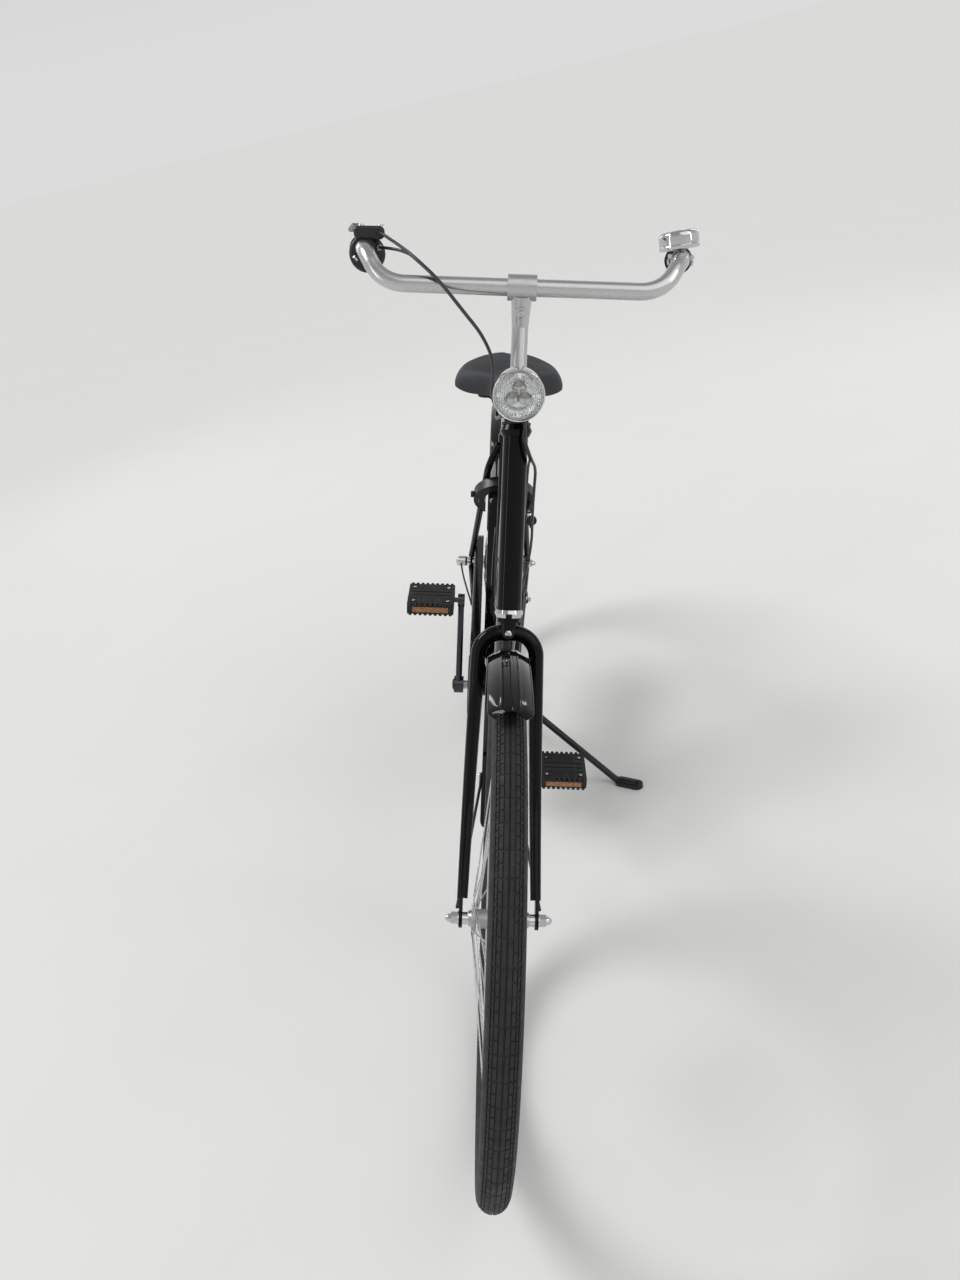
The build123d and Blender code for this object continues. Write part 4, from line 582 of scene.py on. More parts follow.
class BICYCLE_OT_wheel_trim(bpy.types.Operator):
    """Spoke nipples at the rims and one valve on each wheel"""
    bl_idname = "bicycle.wheel_trim"
    bl_label = "Nipples and Valves"

    def execute(self, context):
        lacing = math.radians(60)
        per_family = 9
        step = 2 * math.pi / per_family
        # end, axle place, the hub's flange across and its spoke circle
        table = (("front", 0.0, 0.033, 0.017), ("rear", WHEELBASE, 0.030, 0.037))
        for end, axle_y, flange_x, hub_radius in table:
            nipples = Shell()
            for side_index, side in enumerate((1, -1)):
                for family, (lean, face, rim_x) in enumerate(SPOKE_FAMILIES):
                    for number in range(per_family):
                        hub_angle = number * step + family * step / 2 + side_index * step / 4
                        rim_angle = hub_angle + lean * lacing
                        low = wheel_point(axle_y, hub_radius, hub_angle, side * (flange_x + face))
                        high = wheel_point(axle_y, RIM_SEAT_RADIUS, rim_angle, side * rim_x)
                        direction = unit(high - low)
                        turned(nipples, high - direction * 0.013, direction,
                               [(0, 1.1), (0.5, 1.8), (9, 1.9), (9.5, 2.5), (13, 2.5)], 8)
            nipples.put(f"{end}_spoke_nipples", "chrome", f"{end}_wheel")
            valve = Shell()
            angle = math.radians(VALVE_ANGLE)
            foot = wheel_point(axle_y, RIM_SEAT_RADIUS, angle)
            inward = wheel_point(axle_y, 0.2, angle) - foot
            turned(valve, foot, inward, [(0, 0), (0, 5.8), (2.5, 5.8), (3, 4.2), (6, 4.2), (6.2, 3),
                                         (24, 3), (24.5, 4.2), (36, 3.8), (38, 2), (38, 0)], 20)
            valve.put(f"{end}_valve", "black_plastic", f"{end}_wheel")
        return {"FINISHED"}


# Mudguards

GUARD_EDGE = 0.362
GUARD_SAG = 0.011
GUARD_WALL = 0.0016
GUARD_BEAD = 0.0017
GUARD_CORNER = 0.016


def guard_band(shell, axle_y, half_width, front, rear, ridges):
    """A crowned band: across x and angle b, radius = edge + sag (1 - (x / half)^2) + ridges, where
    each ridge adds height exp(-((|x| - place) / width)^2). The rims are rolled, and at both ends
    the band narrows by a quarter circle."""
    x = half_width * np.sin(np.linspace(-math.pi / 2, math.pi / 2, 61))
    rise = GUARD_SAG * (1 - (x / half_width) ** 2)
    for place, width, height in ridges:
        rise = rise + height * swell(np.abs(x), place, width)
    bead = np.linspace(0, math.pi, 7)[1:-1]
    right_x = half_width + GUARD_BEAD * np.sin(bead)
    right_r = GUARD_BEAD * 0.9 * np.cos(bead) - 0.0002
    section_x = np.concatenate((x, right_x, x[::-1], -right_x[::-1]))
    section_r = np.concatenate((rise + GUARD_WALL, right_r + GUARD_WALL / 2, rise[::-1],
                                right_r[::-1] + GUARD_WALL / 2))
    angle = np.linspace(front, rear, 181)
    run = np.minimum(angle - angle[0], angle[-1] - angle) * (GUARD_EDGE + GUARD_SAG)
    t = np.clip(1 - run / GUARD_CORNER, 0, 1)
    narrow = 1 - GUARD_CORNER / half_width * 0.55 * (1 - np.sqrt(1 - t ** 2))
    across = section_x[None, :] * narrow[:, None]
    radius = GUARD_EDGE + section_r[None, :]
    grid = wheel_point(axle_y, radius, angle[:, None], across)
    shell.add_grid(grid, close_columns=True)
    columns = grid.shape[1]
    for first in (0, (len(angle) - 1) * columns):
        outer = first + np.arange(len(x) - 1)
        inner = 2 * first + 2 * len(x) + len(bead) - 1 - outer
        shell.faces.extend(np.stack((outer, outer + 1, inner - 1, inner), axis=-1).tolist())
        turn = len(x) - 1
        shell.faces.append([first + turn + k for k in range(len(bead) + 2)])
        shell.faces.append([first] + [first + columns - len(bead) - 1 + k for k in range(len(bead) + 1)])


class BICYCLE_OT_mudguards(bpy.types.Operator):
    """Mudguards: crowned bands with two ridges along them, rolled rims and bolts at their stays"""
    bl_idname = "bicycle.mudguards"
    bl_label = "Mudguards"

    def execute(self, context):
        # end, axle place, half width, angle of the front and the rear end, body, angle of the stays
        table = (("front", 0.0, 0.026, -5, 112, "steering", 96),
                 ("rear", WHEELBASE, 0.029, -98, 104, "frame", 78))
        for end, axle_y, half, front, rear, body, stay_angle in table:
            shell = Shell()
            guard_band(shell, axle_y, half, math.radians(front), math.radians(rear),
                       ((0.0, 0.0016, 0.0006), (half * 0.42, 0.0014, 0.0009)))
            piece = shell.put(f"{end}_mudguard_band", "mudguard_paint", body, 50)
            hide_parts(f"{end}_mudguard")
            bolts = Shell()
            for side in (1, -1):
                place = wheel_point(axle_y, GUARD_EDGE + 0.001, math.radians(stay_angle),
                                    side * (half + 0.0045))
                turned(bolts, place, (side, 0, 0), [(0, 0), (0, 4.2), (1.2, 4.2), (3, 3), (3.4, 0)], 16)
            bolts.put(f"{end}_mudguard_bolts", "chrome", body)
        return {"FINISHED"}


# Saddle

SADDLE_FRONT = 0.7307
SADDLE_REAR = 0.9907
SADDLE_BASE = 0.8336
# the height where the rounded side begins, and the radius of the rounding
SKIRT = 0.0085
SHOULDER = 0.019
# how far the nose slopes down, the middle dips, the channel is sunk and the wings hang
NOSE_DROP = 0.006
MIDDLE_DIP = 0.0035
CHANNEL_DEPTH = 0.0030
CHANNEL_WIDTH = 0.010
WING_HANG = 0.012
# the sewn line: its depth, its distance from the rim, and the half width where it ends
SEAM = (0.0011, 0.024, 0.032)


class BICYCLE_OT_saddle(bpy.types.Operator):
    """A crowned saddle cover: narrow nose, two wings, a shallow channel, a sewn line and a piped rim"""
    bl_idname = "bicycle.saddle"
    bl_label = "Saddle"

    def execute(self, context):
        size = context.scene.bicycle_saddle
        shell = Shell()
        self.cover(shell, size)
        piece = shell.put("saddle_cushion", "saddle_vinyl", "frame", 70)
        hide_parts("saddle_cover")
        return {"FINISHED"}

    @staticmethod
    def half_width(share, size):
        """Plan shape: half the width at a share from nose 0 to rear 1. A round nose, a neck that
        widens evenly, an S-curve out to the wings and a rounded back."""
        def step(low, high):
            return np.clip((share - low) / (high - low), 0, 1)

        def smooth(t):
            return t * t * (3 - 2 * t)

        nose = np.sqrt(np.clip(1 - (1 - step(0.0, 0.10)) ** 2, 0, 1))
        back = np.clip(1 - step(0.84, 1.0) ** 3, 0, 1) ** 0.5
        body = size.nose_width / 2 + (size.neck_width - size.nose_width) / 2 * step(0.06, 0.55)
        body = body + (size.wing_width - size.neck_width) / 2 * smooth(step(0.36, 0.80))
        return body * nose * back

    def cover(self, shell, size):
        """Sections across the saddle. A section point at share u of the half width w is across =
        w u and up = skirt + (crown - skirt) shoulder, where the crown is a circle's height less
        x^2 / 2R, and the shoulder is a quarter circle of the distance from the rim."""
        share = 0.5 - 0.5 * np.cos(np.linspace(0, math.pi, 97))
        share = np.clip(share, 0.0006, 0.9994)[:, None]
        width = self.half_width(share, size)
        u = np.sin(np.linspace(-math.pi / 2, math.pi / 2, 73))[None, :]
        across = width * u
        crown = size.height - NOSE_DROP * np.clip(1 - share / 0.5, 0, 1) ** 1.5
        crown = crown - MIDDLE_DIP * swell(share, 0.5, 0.16)
        crown = crown - across ** 2 / (2 * size.crown_radius)
        channel = swell(across, 0.0, CHANNEL_WIDTH) * np.clip((share - 0.3) / 0.3, 0, 1)
        crown = crown - CHANNEL_DEPTH * channel
        away = width * (1 - np.abs(u))
        step = np.clip((share - 0.38) / 0.27, 0, 1)
        shoulder = np.sqrt(np.clip(1 - (1 - np.clip(away / SHOULDER, 0, 1)) ** 2, 0, 1))
        depth, inset, narrowest = SEAM
        seam = depth * swell(away, inset, depth) * (width > narrowest)
        hang = WING_HANG * (3 - 2 * step) * step ** 2
        up = SKIRT + np.maximum(crown - SKIRT, 0.0) * shoulder - seam - hang * np.abs(u) ** 5
        length = SADDLE_REAR - SADDLE_FRONT
        y = SADDLE_FRONT + length * share
        under_u = np.array((1.0, 0.995, 0.975, 0.90, 0.5, 0.0))[None, :]
        under_z = np.array((0.0060, 0.0030, 0.0008, 0.0003, 0.0002, 0.0002))[None, :]
        under_x = width * under_u
        pull = (share - 0.5) * 0.012 * (1 - np.clip(under_z / SKIRT, 0, 1))
        rim_x = np.concatenate((across, under_x, -under_x[:, :-1][:, ::-1]), axis=1)
        below = under_z - hang * under_u ** 5
        rim_z = np.concatenate((up, below, below[:, :-1][:, ::-1]), axis=1)
        rim_y = np.concatenate((y + 0 * across, y - pull, (y - pull)[:, :-1][:, ::-1]), axis=1)
        shell.add_grid(np.stack((rim_x, rim_y, SADDLE_BASE + rim_z), axis=-1), close_columns=True)
        columns = rim_x.shape[1]
        for first in (0, (len(share) - 1) * columns):
            shell.faces.append([first + k for k in range(columns)])


# Grips, bell, shifter and brake lever

class BICYCLE_OT_grips(bpy.types.Operator):
    """Soft grips: fine rings between a collar and a domed end, and a flange towards the middle"""
    bl_idname = "bicycle.grips"
    bl_label = "Grips"

    def execute(self, context):
        for name, side in (("left", 1), ("right", -1)):
            end, _, _, out = bar_place(0.0, side)
            shell = Shell()
            profile = [(-3, 0), (-3, 8.5), (-2.4, 12.5), (0, 15.2), (4, 16.2), (10, 16.5), (12.5, 16.2),
                       (13.5, 15.2)]
            for ring in range(26):
                at = 16 + ring * 3.6
                profile += [(at, 15), (at + 0.7, 16), (at + 2.1, 16), (at + 2.8, 15)]
            profile += [(110.5, 15), (112.5, 15.6), (115, 16), (118, 18), (119, 19.2), (120, 19.5),
                        (121.3, 19.5), (122, 18.8), (122, 11.3), (-1.2, 11.3), (-1.2, 0)]
            turned(shell, end, -out, profile, 48)
            piece = shell.put(f"grip_{name}_ringed", "soft_rubber", "steering", 40)
            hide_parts(f"grip_{name}")
        return {"FINISHED"}


class BICYCLE_OT_bell(bpy.types.Operator):
    """The bell: a low drum on a broad base ring, stepped rings on its top and a clamp with two ears"""
    bl_idname = "bicycle.bell"
    bl_label = "Bell"

    def execute(self, context):
        place = bar_place(BELL_AT, 1)
        centre, right, up, out = place
        tilt = math.radians(12)
        axis = right * math.sin(tilt) + up * math.cos(tilt)
        shell = Shell()
        profile = [(13, 0), (13, 25.5), (13.8, 27), (15, 27.5), (18.2, 27.5), (19, 27), (19.2, 26.2),
                   (19.9, 26.2), (20.2, 27), (30, 27.2), (32.5, 26.8), (34.7, 25.5), (36.2, 23.5),
                   (36.8, 21.2), (36.5, 20.3), (36, 19.8), (36.2, 19.2), (37.1, 18.8), (37.4, 14.5),
                   (36.9, 13.9), (36.5, 13.5), (36.7, 12.9), (37.6, 12.5), (37.7, 8.5), (37.2, 7.9),
                   (36.9, 7.5), (37.1, 7), (37.9, 6.4), (38, 0)]
        turned(shell, centre, axis, profile, 96)
        dome = shell.put("bell_dome", "chrome", "steering", 28)
        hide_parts("bell")
        mount = Shell()
        turned(mount, centre, axis, [(10, 0), (10, 6.8), (11.8, 7.2), (12.9, 10.5), (12.9, 0)], 32)
        turned(mount, centre - out * 0.006, out,
               [(0, 11.3), (0, 13), (0.6, 13.4), (11.4, 13.4), (12, 13), (12, 11.3), (0, 11.3)], 48)
        clamp = mount.put("bell_clamp", "satin_aluminium", "steering")
        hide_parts("bell")
        ears = Shell()
        for aside in (right, -right):
            foot = centre + aside * 0.0145 + up * 0.004 - out * 0.005
            turned(ears, foot, out, [(0, 0), (0, 2.8), (0.5, 3.2), (9.5, 3.2), (10, 2.8), (10, 0)], 20)
            tube(ears, [foot + out * 0.005, foot + out * 0.005 - up * 0.006 + aside * 0.002,
                        foot + out * 0.006 - up * 0.011 + aside * 0.001], 0.0016, 10)
        ears.put("bell_ears", "chrome", "steering")
        return {"FINISHED"}


class BICYCLE_OT_shifter(bpy.types.Operator):
    """The gear shifter: a broad drum off the bar's centre, a fluted twist sleeve and a cable nose"""
    bl_idname = "bicycle.shifter"
    bl_label = "Gear Shifter"

    def execute(self, context):
        place = bar_place(SHIFTER_AT, -1)
        centre, right, up, out = place
        drum_at = from_place(place, -0.005, -0.006, 0.0)
        shell = Shell()
        turned(shell, drum_at, out,
               [(0, 0), (0, 20.5), (0.8, 22.8), (2.6, 24.5), (4.8, 25), (11.8, 25), (12.4, 24.6),
                (13.2, 24.6), (13.8, 25), (21.2, 25), (23.4, 24.5), (25.2, 22.8), (26, 20.5), (26, 0)], 96)
        drum = shell.put("gear_shifter_drum", "black_plastic", "steering")
        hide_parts("gear_shifter")
        sleeve = Shell()
        profile = np.array([(0, 11.3), (0, 16.5), (1, 17.2), (3, 17.5), (34, 17.5), (36.5, 17.2),
                            (37.8, 16), (37.8, 11.3)]) / 1000
        angle = around(168)
        flutes = 1 - 0.06 * (np.cos(angle * 21) > 0.25)
        fluted = (profile[:, 0] > 0.002) & (profile[:, 0] < 0.035)
        radius = profile[:, 1:2] * np.where(fluted[:, None], flutes[None, :], 1.0)
        ring = circle(angle, right, up)
        grid = centre + out * 0.0262 + profile[:, None, 0:1] * out + radius[:, :, None] * ring[None]
        sleeve.add_grid(grid, close_rows=True, close_columns=True)
        twist = sleeve.put("gear_shifter_sleeve", "soft_rubber", "steering")
        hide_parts("gear_shifter")
        nose = Shell()
        turned(nose, from_place(place, -0.0215, 0.002, 0.004), -out,
               [(0, 0), (0, 4), (5, 4), (5.5, 3.4), (12.5, 3.2), (13.6, 2.6), (14, 0)], 24)
        turned(nose, from_place(place, -0.023, 0.020, -0.0155), -out,
               [(0, 0), (0, 4.5), (3.5, 4.5), (4, 3.4), (6.5, 3.4)], 6)
        nose.put("cable_noses", "cast_aluminium", "steering")
        return {"FINISHED"}


class BICYCLE_OT_brake_lever(bpy.types.Operator):
    """Trim on the brake lever: its pivot screw, the clamp's screw and the barrel's lock ring"""
    bl_idname = "bicycle.brake_lever"
    bl_label = "Brake Lever Trim"

    def execute(self, context):
        place = bar_place(LEVER_AT, -1)
        right, up = place[1:3]
        trim = Shell()
        screw = [(0, 0), (0, 4.6), (0.8, 4.6), (2.2, 3.6), (2.4, 2.2), (1.4, 1.8), (1.4, 0)]
        turned(trim, from_place(place, 0.002, 0.0290, 0.006), up, screw, 24)
        turned(trim, from_place(place, -0.024, 0.0290, 0.002), up, screw, 24)
        turned(trim, from_place(place, 0.0105, -0.0115, 0.007), (right - up) / math.sqrt(2),
               [(0, 0), (0, 4.2), (3, 4.2), (3, 2), (2, 2), (2, 0)], 24)
        trim.put("brake_lever_screws", "chrome", "steering")
        return {"FINISHED"}


# Headlight

LAMP_CENTRE = steering_point(0.706, 0.072)
LENS_RADIUS = 0.0316
MIRROR_RADIUS = 0.0297
# the three cups: the circle that their middles lie on, their radius, and how far back and how deep they are
CUP_CIRCLE = 0.0092
CUP_RADIUS = 0.0080
CUP_BACK = 0.0275
CUP_DEPTH = 0.0150


def disc(radius, rings, segments):
    """Shares from a disc's middle to its edge, and with them x = radius share cos a and
    z = radius share sin a."""
    share = np.linspace(0, 1, rings)[:, None]
    angle = around(segments)
    return share, radius * share * np.cos(angle), radius * share * np.sin(angle)


class BICYCLE_OT_headlight(bpy.types.Operator):
    """The headlight: polished shell and rim, ribbed lens, and three mirror cups with a lamp in each"""
    bl_idname = "bicycle.headlight"
    bl_label = "Headlight"

    def execute(self, context):
        shell = Shell()
        profile = [(0, 31.8), (-0.5, 32.6), (-0.4, 33.4), (1, 33.9), (4, 34), (6, 33.8), (6.8, 33),
                   (7.2, 32.6), (8.5, 32.8), (11, 32.9), (20, 32.3), (30, 31.1), (38, 28.8), (45, 25.8),
                   (51, 22), (56, 17.8), (60, 12.8), (62.8, 7), (64, 0), (61, 0), (57, 11), (46, 22),
                   (29, 28.5), (9, 30.5), (9, 31.8)]
        turned(shell, LAMP_CENTRE, (0, 1, 0), profile + profile[:1], 96)
        piece = shell.put("headlight_shell_turned", "chrome", "steering", 30)
        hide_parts("headlight_shell")
        self.lens()
        self.cups()
        return {"FINISHED"}

    @staticmethod
    def lens():
        """A slightly domed disc; its back face carries upright ribs: depth = cosine of across."""
        rings, x, z = disc(LENS_RADIUS, 40, 144)
        front = 0.0032 - 0.0026 * (1 - rings ** 2) + 0 * x
        away = np.hypot(x, z)
        ribbed = (away > 0.0190) & (away < 0.0300)
        behind = 0.0050 - ribs(x, 0.0024, 0.0011) * ribbed
        shell = Shell()
        for depth in (front, behind):
            grid = LAMP_CENTRE + np.stack((x, depth, z), axis=-1)
            shell.add_grid(grid, close_columns=True)
        edge = [LAMP_CENTRE + np.stack((x[-1], depth[-1], z[-1]), axis=-1) for depth in (front, behind)]
        shell.add_grid(edge, close_columns=True)
        piece = shell.put("headlight_lens_ribbed", "clear_lens", "steering", 50)
        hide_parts("headlight_lens")

    @staticmethod
    def cups():
        """A dish, upright ribs round its edge, and three paraboloid cups with raised rims. A dish's
        depth falls with (1 - r^2), a cup's with (distance / cup radius)^2, a rib's is a cosine."""
        rings, x, z = disc(MIRROR_RADIUS, 90, 288)
        away = np.hypot(x, z)
        depth = 0.0086 + 0.0090 * np.clip(1 - rings ** 2, 0, 1) ** 0.7 + 0 * x
        edge = np.clip((away - 0.0196) / 0.0008, 0, 1) * np.clip((0.0288 - away) / 0.0008, 0, 1)
        depth = depth - ribs(x, 0.0030, 0.0011) * edge
        depth = depth - 0.0024 * swell(away, 0.0190, 0.0009)
        lamps = Shell()
        for turn in (90, 210, 330):
            cx = CUP_CIRCLE * math.cos(math.radians(turn))
            cz = CUP_CIRCLE * math.sin(math.radians(turn))
            away = np.hypot(x - cx, z - cz)
            cup = CUP_BACK - (away / CUP_RADIUS) ** 2 * CUP_DEPTH
            depth = np.where(away < CUP_RADIUS * 1.1, np.clip(cup, 0.0110, None), depth)
            depth = depth - 0.0020 * swell(away, CUP_RADIUS + 0.0010, 0.0006)
            turned(lamps, LAMP_CENTRE + (cx, 0.0274, cz), (0, -1, 0),
                   [(0, 0), (0, 2.6), (1.2, 2.6), (2.2, 1.8), (2.7, 0)], 24)
        shell = Shell()
        shell.add_grid(LAMP_CENTRE + np.stack((x, depth, z), axis=-1), close_columns=True)
        turned(shell, LAMP_CENTRE, (0, 1, 0),
               [(8.6, 29.7), (8.6, 30.3), (18, 29.6), (31, 20), (32.5, 0)], 144)
        piece = shell.put("headlight_mirror_cups", "lamp_mirror", "steering", 40)
        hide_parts("headlight_reflector")
        lamps.put("headlight_lamps", "led_yellow", "steering", 30)


# Pedals

PEDAL_ACROSS = 0.1385
# half length, half width and pitch of a knurled patch
KNURL = (0.026, 0.014, 0.0040)
# from the pedal's middle: a patch, a screw and the rows of lugs
KNURL_AT = np.array((0.0, 0.024, 0.0118))
PEDAL_SCREW = np.array((0.034, 0.028, 0.0105))
LUG_Y, LUG_Z = 0.0440, 0.0062


class BICYCLE_OT_pedals(bpy.types.Operator):
    """Trim on the block pedals: lugs along the edges, screws and knurled patches, and a dust cap"""
    bl_idname = "bicycle.pedals"
    bl_label = "Pedal Trim"

    def execute(self, context):
        for name, side in (("left", 1), ("right", -1)):
            centre = upright(JOINTS[f"pedal_{name}_spin"]["pos_m"])
            centre[0] = side * PEDAL_ACROSS
            body = f"pedal_{name}"
            screws = Shell()
            patches = Shell()
            for z_side in (1, -1):
                for x_side in (-1, 1):
                    for y_side in (-1, 1):
                        turned(screws, centre + PEDAL_SCREW * (x_side, y_side, z_side), (0, 0, z_side),
                               [(0, 0), (0, 3), (1.8, 3.2), (2.4, 2.6), (2.4, 1.2), (1.2, 1), (1.2, 0)], 16)
                for y_side in (-1, 1):
                    self.knurl(patches, centre + KNURL_AT * (0, y_side, z_side), z_side)
            turned(screws, centre + (side * 0.0450, 0, 0), (side, 0, 0),
                   [(0, 0), (0, 6.2), (1.2, 6.2), (2.2, 5), (2.6, 0)], 24)
            lugs = Shell()
            for y_side in (1, -1):
                for z_side in (1, -1):
                    for x_place in np.linspace(-0.0395, 0.0395, 9):
                        turned(lugs, centre + (x_place, y_side * LUG_Y, z_side * LUG_Z), (0, 0, z_side),
                               [(0, 0), (0, 3), (0.8, 3.4), (4.8, 3.4), (6, 2.6), (6.2, 0)],
                               14)
            lugs.put(f"pedal_{name}_lugs", "soft_rubber", body, 40)
            screws.put(f"pedal_{name}_screws", "chrome", body)
            patches.put(f"pedal_{name}_knurls", "soft_rubber", body, 20)
        return {"FINISHED"}

    @staticmethod
    def knurl(shell, place, z_side):
        """A patch of small pyramids: height = 1 - the larger of two triangle waves, across and along."""
        half_x, half_y, pitch = KNURL
        x, y = (np.linspace(-half, half, int(half / pitch * 4) + 1) for half in (half_x, half_y))
        grid_x, grid_y = np.meshgrid(x, y, indexing="ij")
        wave_x, wave_y = (np.abs((along / pitch) % 1.0 - 0.5) * 2 for along in (grid_x, grid_y))
        height = 0.0018 * (1 - np.maximum(wave_x, wave_y))
        inside = (np.abs(grid_x) < half_x - 1e-6) & (np.abs(grid_y) < half_y - 1e-6)
        top = place + np.stack((grid_x, grid_y, z_side * np.where(inside, 0.0006 + height, 0.0)), axis=-1)
        below = place + np.stack((grid_x, grid_y, np.full_like(grid_x, -z_side * 0.0010)), axis=-1)
        shell.add_grid(top)
        shell.add_grid(below)
        for edge in (lambda g: g[0], lambda g: g[-1], lambda g: g[:, 0], lambda g: g[:, -1]):
            shell.add_grid(np.array((edge(top), edge(below))))


# Control cables

CABLE_RADIUS = 0.0021
# side, behind the bar's middle, above it: the brake cable's free run in front of the bar
BAR_ROUTE = ((-0.158, 0.032, 0.039), (-0.134, 0.002, 0.027), (-0.107, -0.022, 0.009),
             (-0.076, -0.036, -0.024), (-0.049, -0.034, -0.055), (-0.032, -0.026, -0.094),
             (-0.037, -0.058, -0.143), (0.003, -0.065, -0.147))
# where the cables enter the lever's barrel and the shifter's nose: right, up and out
BRAKE_NOSE = (-0.023, 0.020, -0.0150)
GEAR_NOSE = (-0.0215, 0.002, 0.0050)
PAIR_OFFSET = np.array((0.0, 0.0055, -0.0024))
# height along the steering axis, forward of it and to the left: where the cables go on to the frame
SPLIT = (0.667, 0.0285, 0.011)


def route_places(route):
    """Places along a quadratic NURBS curve that has the route as its control points."""
    curve = bpy.data.curves.new("route", "CURVE")
    curve.dimensions = "3D"
    curve.resolution_u = 9
    spline = curve.splines.new("NURBS")
    spline.points.add(len(route) - 1)
    spline.points.foreach_set("co", np.column_stack((route, np.ones(len(route)))).ravel())
    spline.order_u = 3
    spline.use_endpoint_u = True
    holder = bpy.data.objects.new("route", curve)
    line = bpy.data.meshes.new_from_object(holder)
    places = mesh_places(line)
    bpy.data.meshes.remove(line)
    bpy.data.objects.remove(holder)
    bpy.data.curves.remove(curve)
    return places


def at_split(above=0.0):
    """The place where the brake cable goes on to the frame, or one above it on the same line."""
    return steering_point(SPLIT[0] + above, *SPLIT[1:])


class BICYCLE_OT_cables(bpy.types.Operator):
    """Brake and gear cable: one smooth pair from the controls to the head tube, with two sleeves"""
    bl_idname = "bicycle.cables"
    bl_label = "Cables"

    def execute(self, context):
        lever = bar_place(LEVER_AT, -1)
        free = BAR_CENTRE + np.array(BAR_ROUTE)
        down = np.array((at_split(0.012), at_split(0.00025), at_split(-0.003)))
        pair = Shell()
        for nose, shift in ((BRAKE_NOSE, np.zeros(3)), (GEAR_NOSE, PAIR_OFFSET)):
            route = np.concatenate(([from_place(lever, *nose)], free + shift, down + shift))
            tube(pair, route_places(route), CABLE_RADIUS, 16)
        cables = pair.put("control_cables", "cable_housing", None, 50)
        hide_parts("control_cables_bar")
        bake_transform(cables)
        sleeves = Shell()
        axis = unit(at_split(0.001) - at_split())
        for shift in (np.zeros(3), PAIR_OFFSET):
            turned(sleeves, at_split(-0.010) + shift, axis,
                   [(0, 2.1), (0, 2.7), (0.8, 2.9), (11.2, 2.9), (12, 2.7), (12, 2.1)], 20)
        sleeves.put("cable_sleeves", "black_plastic", "frame")
        return {"FINISHED"}


# Lock, bolts, clips and small trim

def strap(shell, origin, axis, circles, width, wall):
    """A band round several circles: in each direction p the outline lies on the circle with the
    largest centre . p + radius, and the band is that outline, grown by its wall, over a width."""
    axis, across, upward = frame_along(axis)
    ring = circle(around(72), np.array((1.0, 0.0)), np.array((0.0, 1.0)))
    origin = np.array(origin)
    flat = np.array([((place - origin) @ across, (place - origin) @ upward) for place, _ in circles])
    radii = np.array([radius for _, radius in circles])
    reach = flat @ ring.T + radii[:, None]
    first = np.argmax(reach, axis=0)
    loops = []
    for grow, shift in ((0.0001, -0.5), (wall, -0.5), (wall, 0.5), (0.0001, 0.5)):
        edge = flat[first] + ring * (radii[first] + grow)[:, None]
        loops.append(origin + edge[:, :1] * across + edge[:, 1:] * upward + axis * width * shift)
    shell.add_grid(np.array(loops), close_rows=True, close_columns=True)


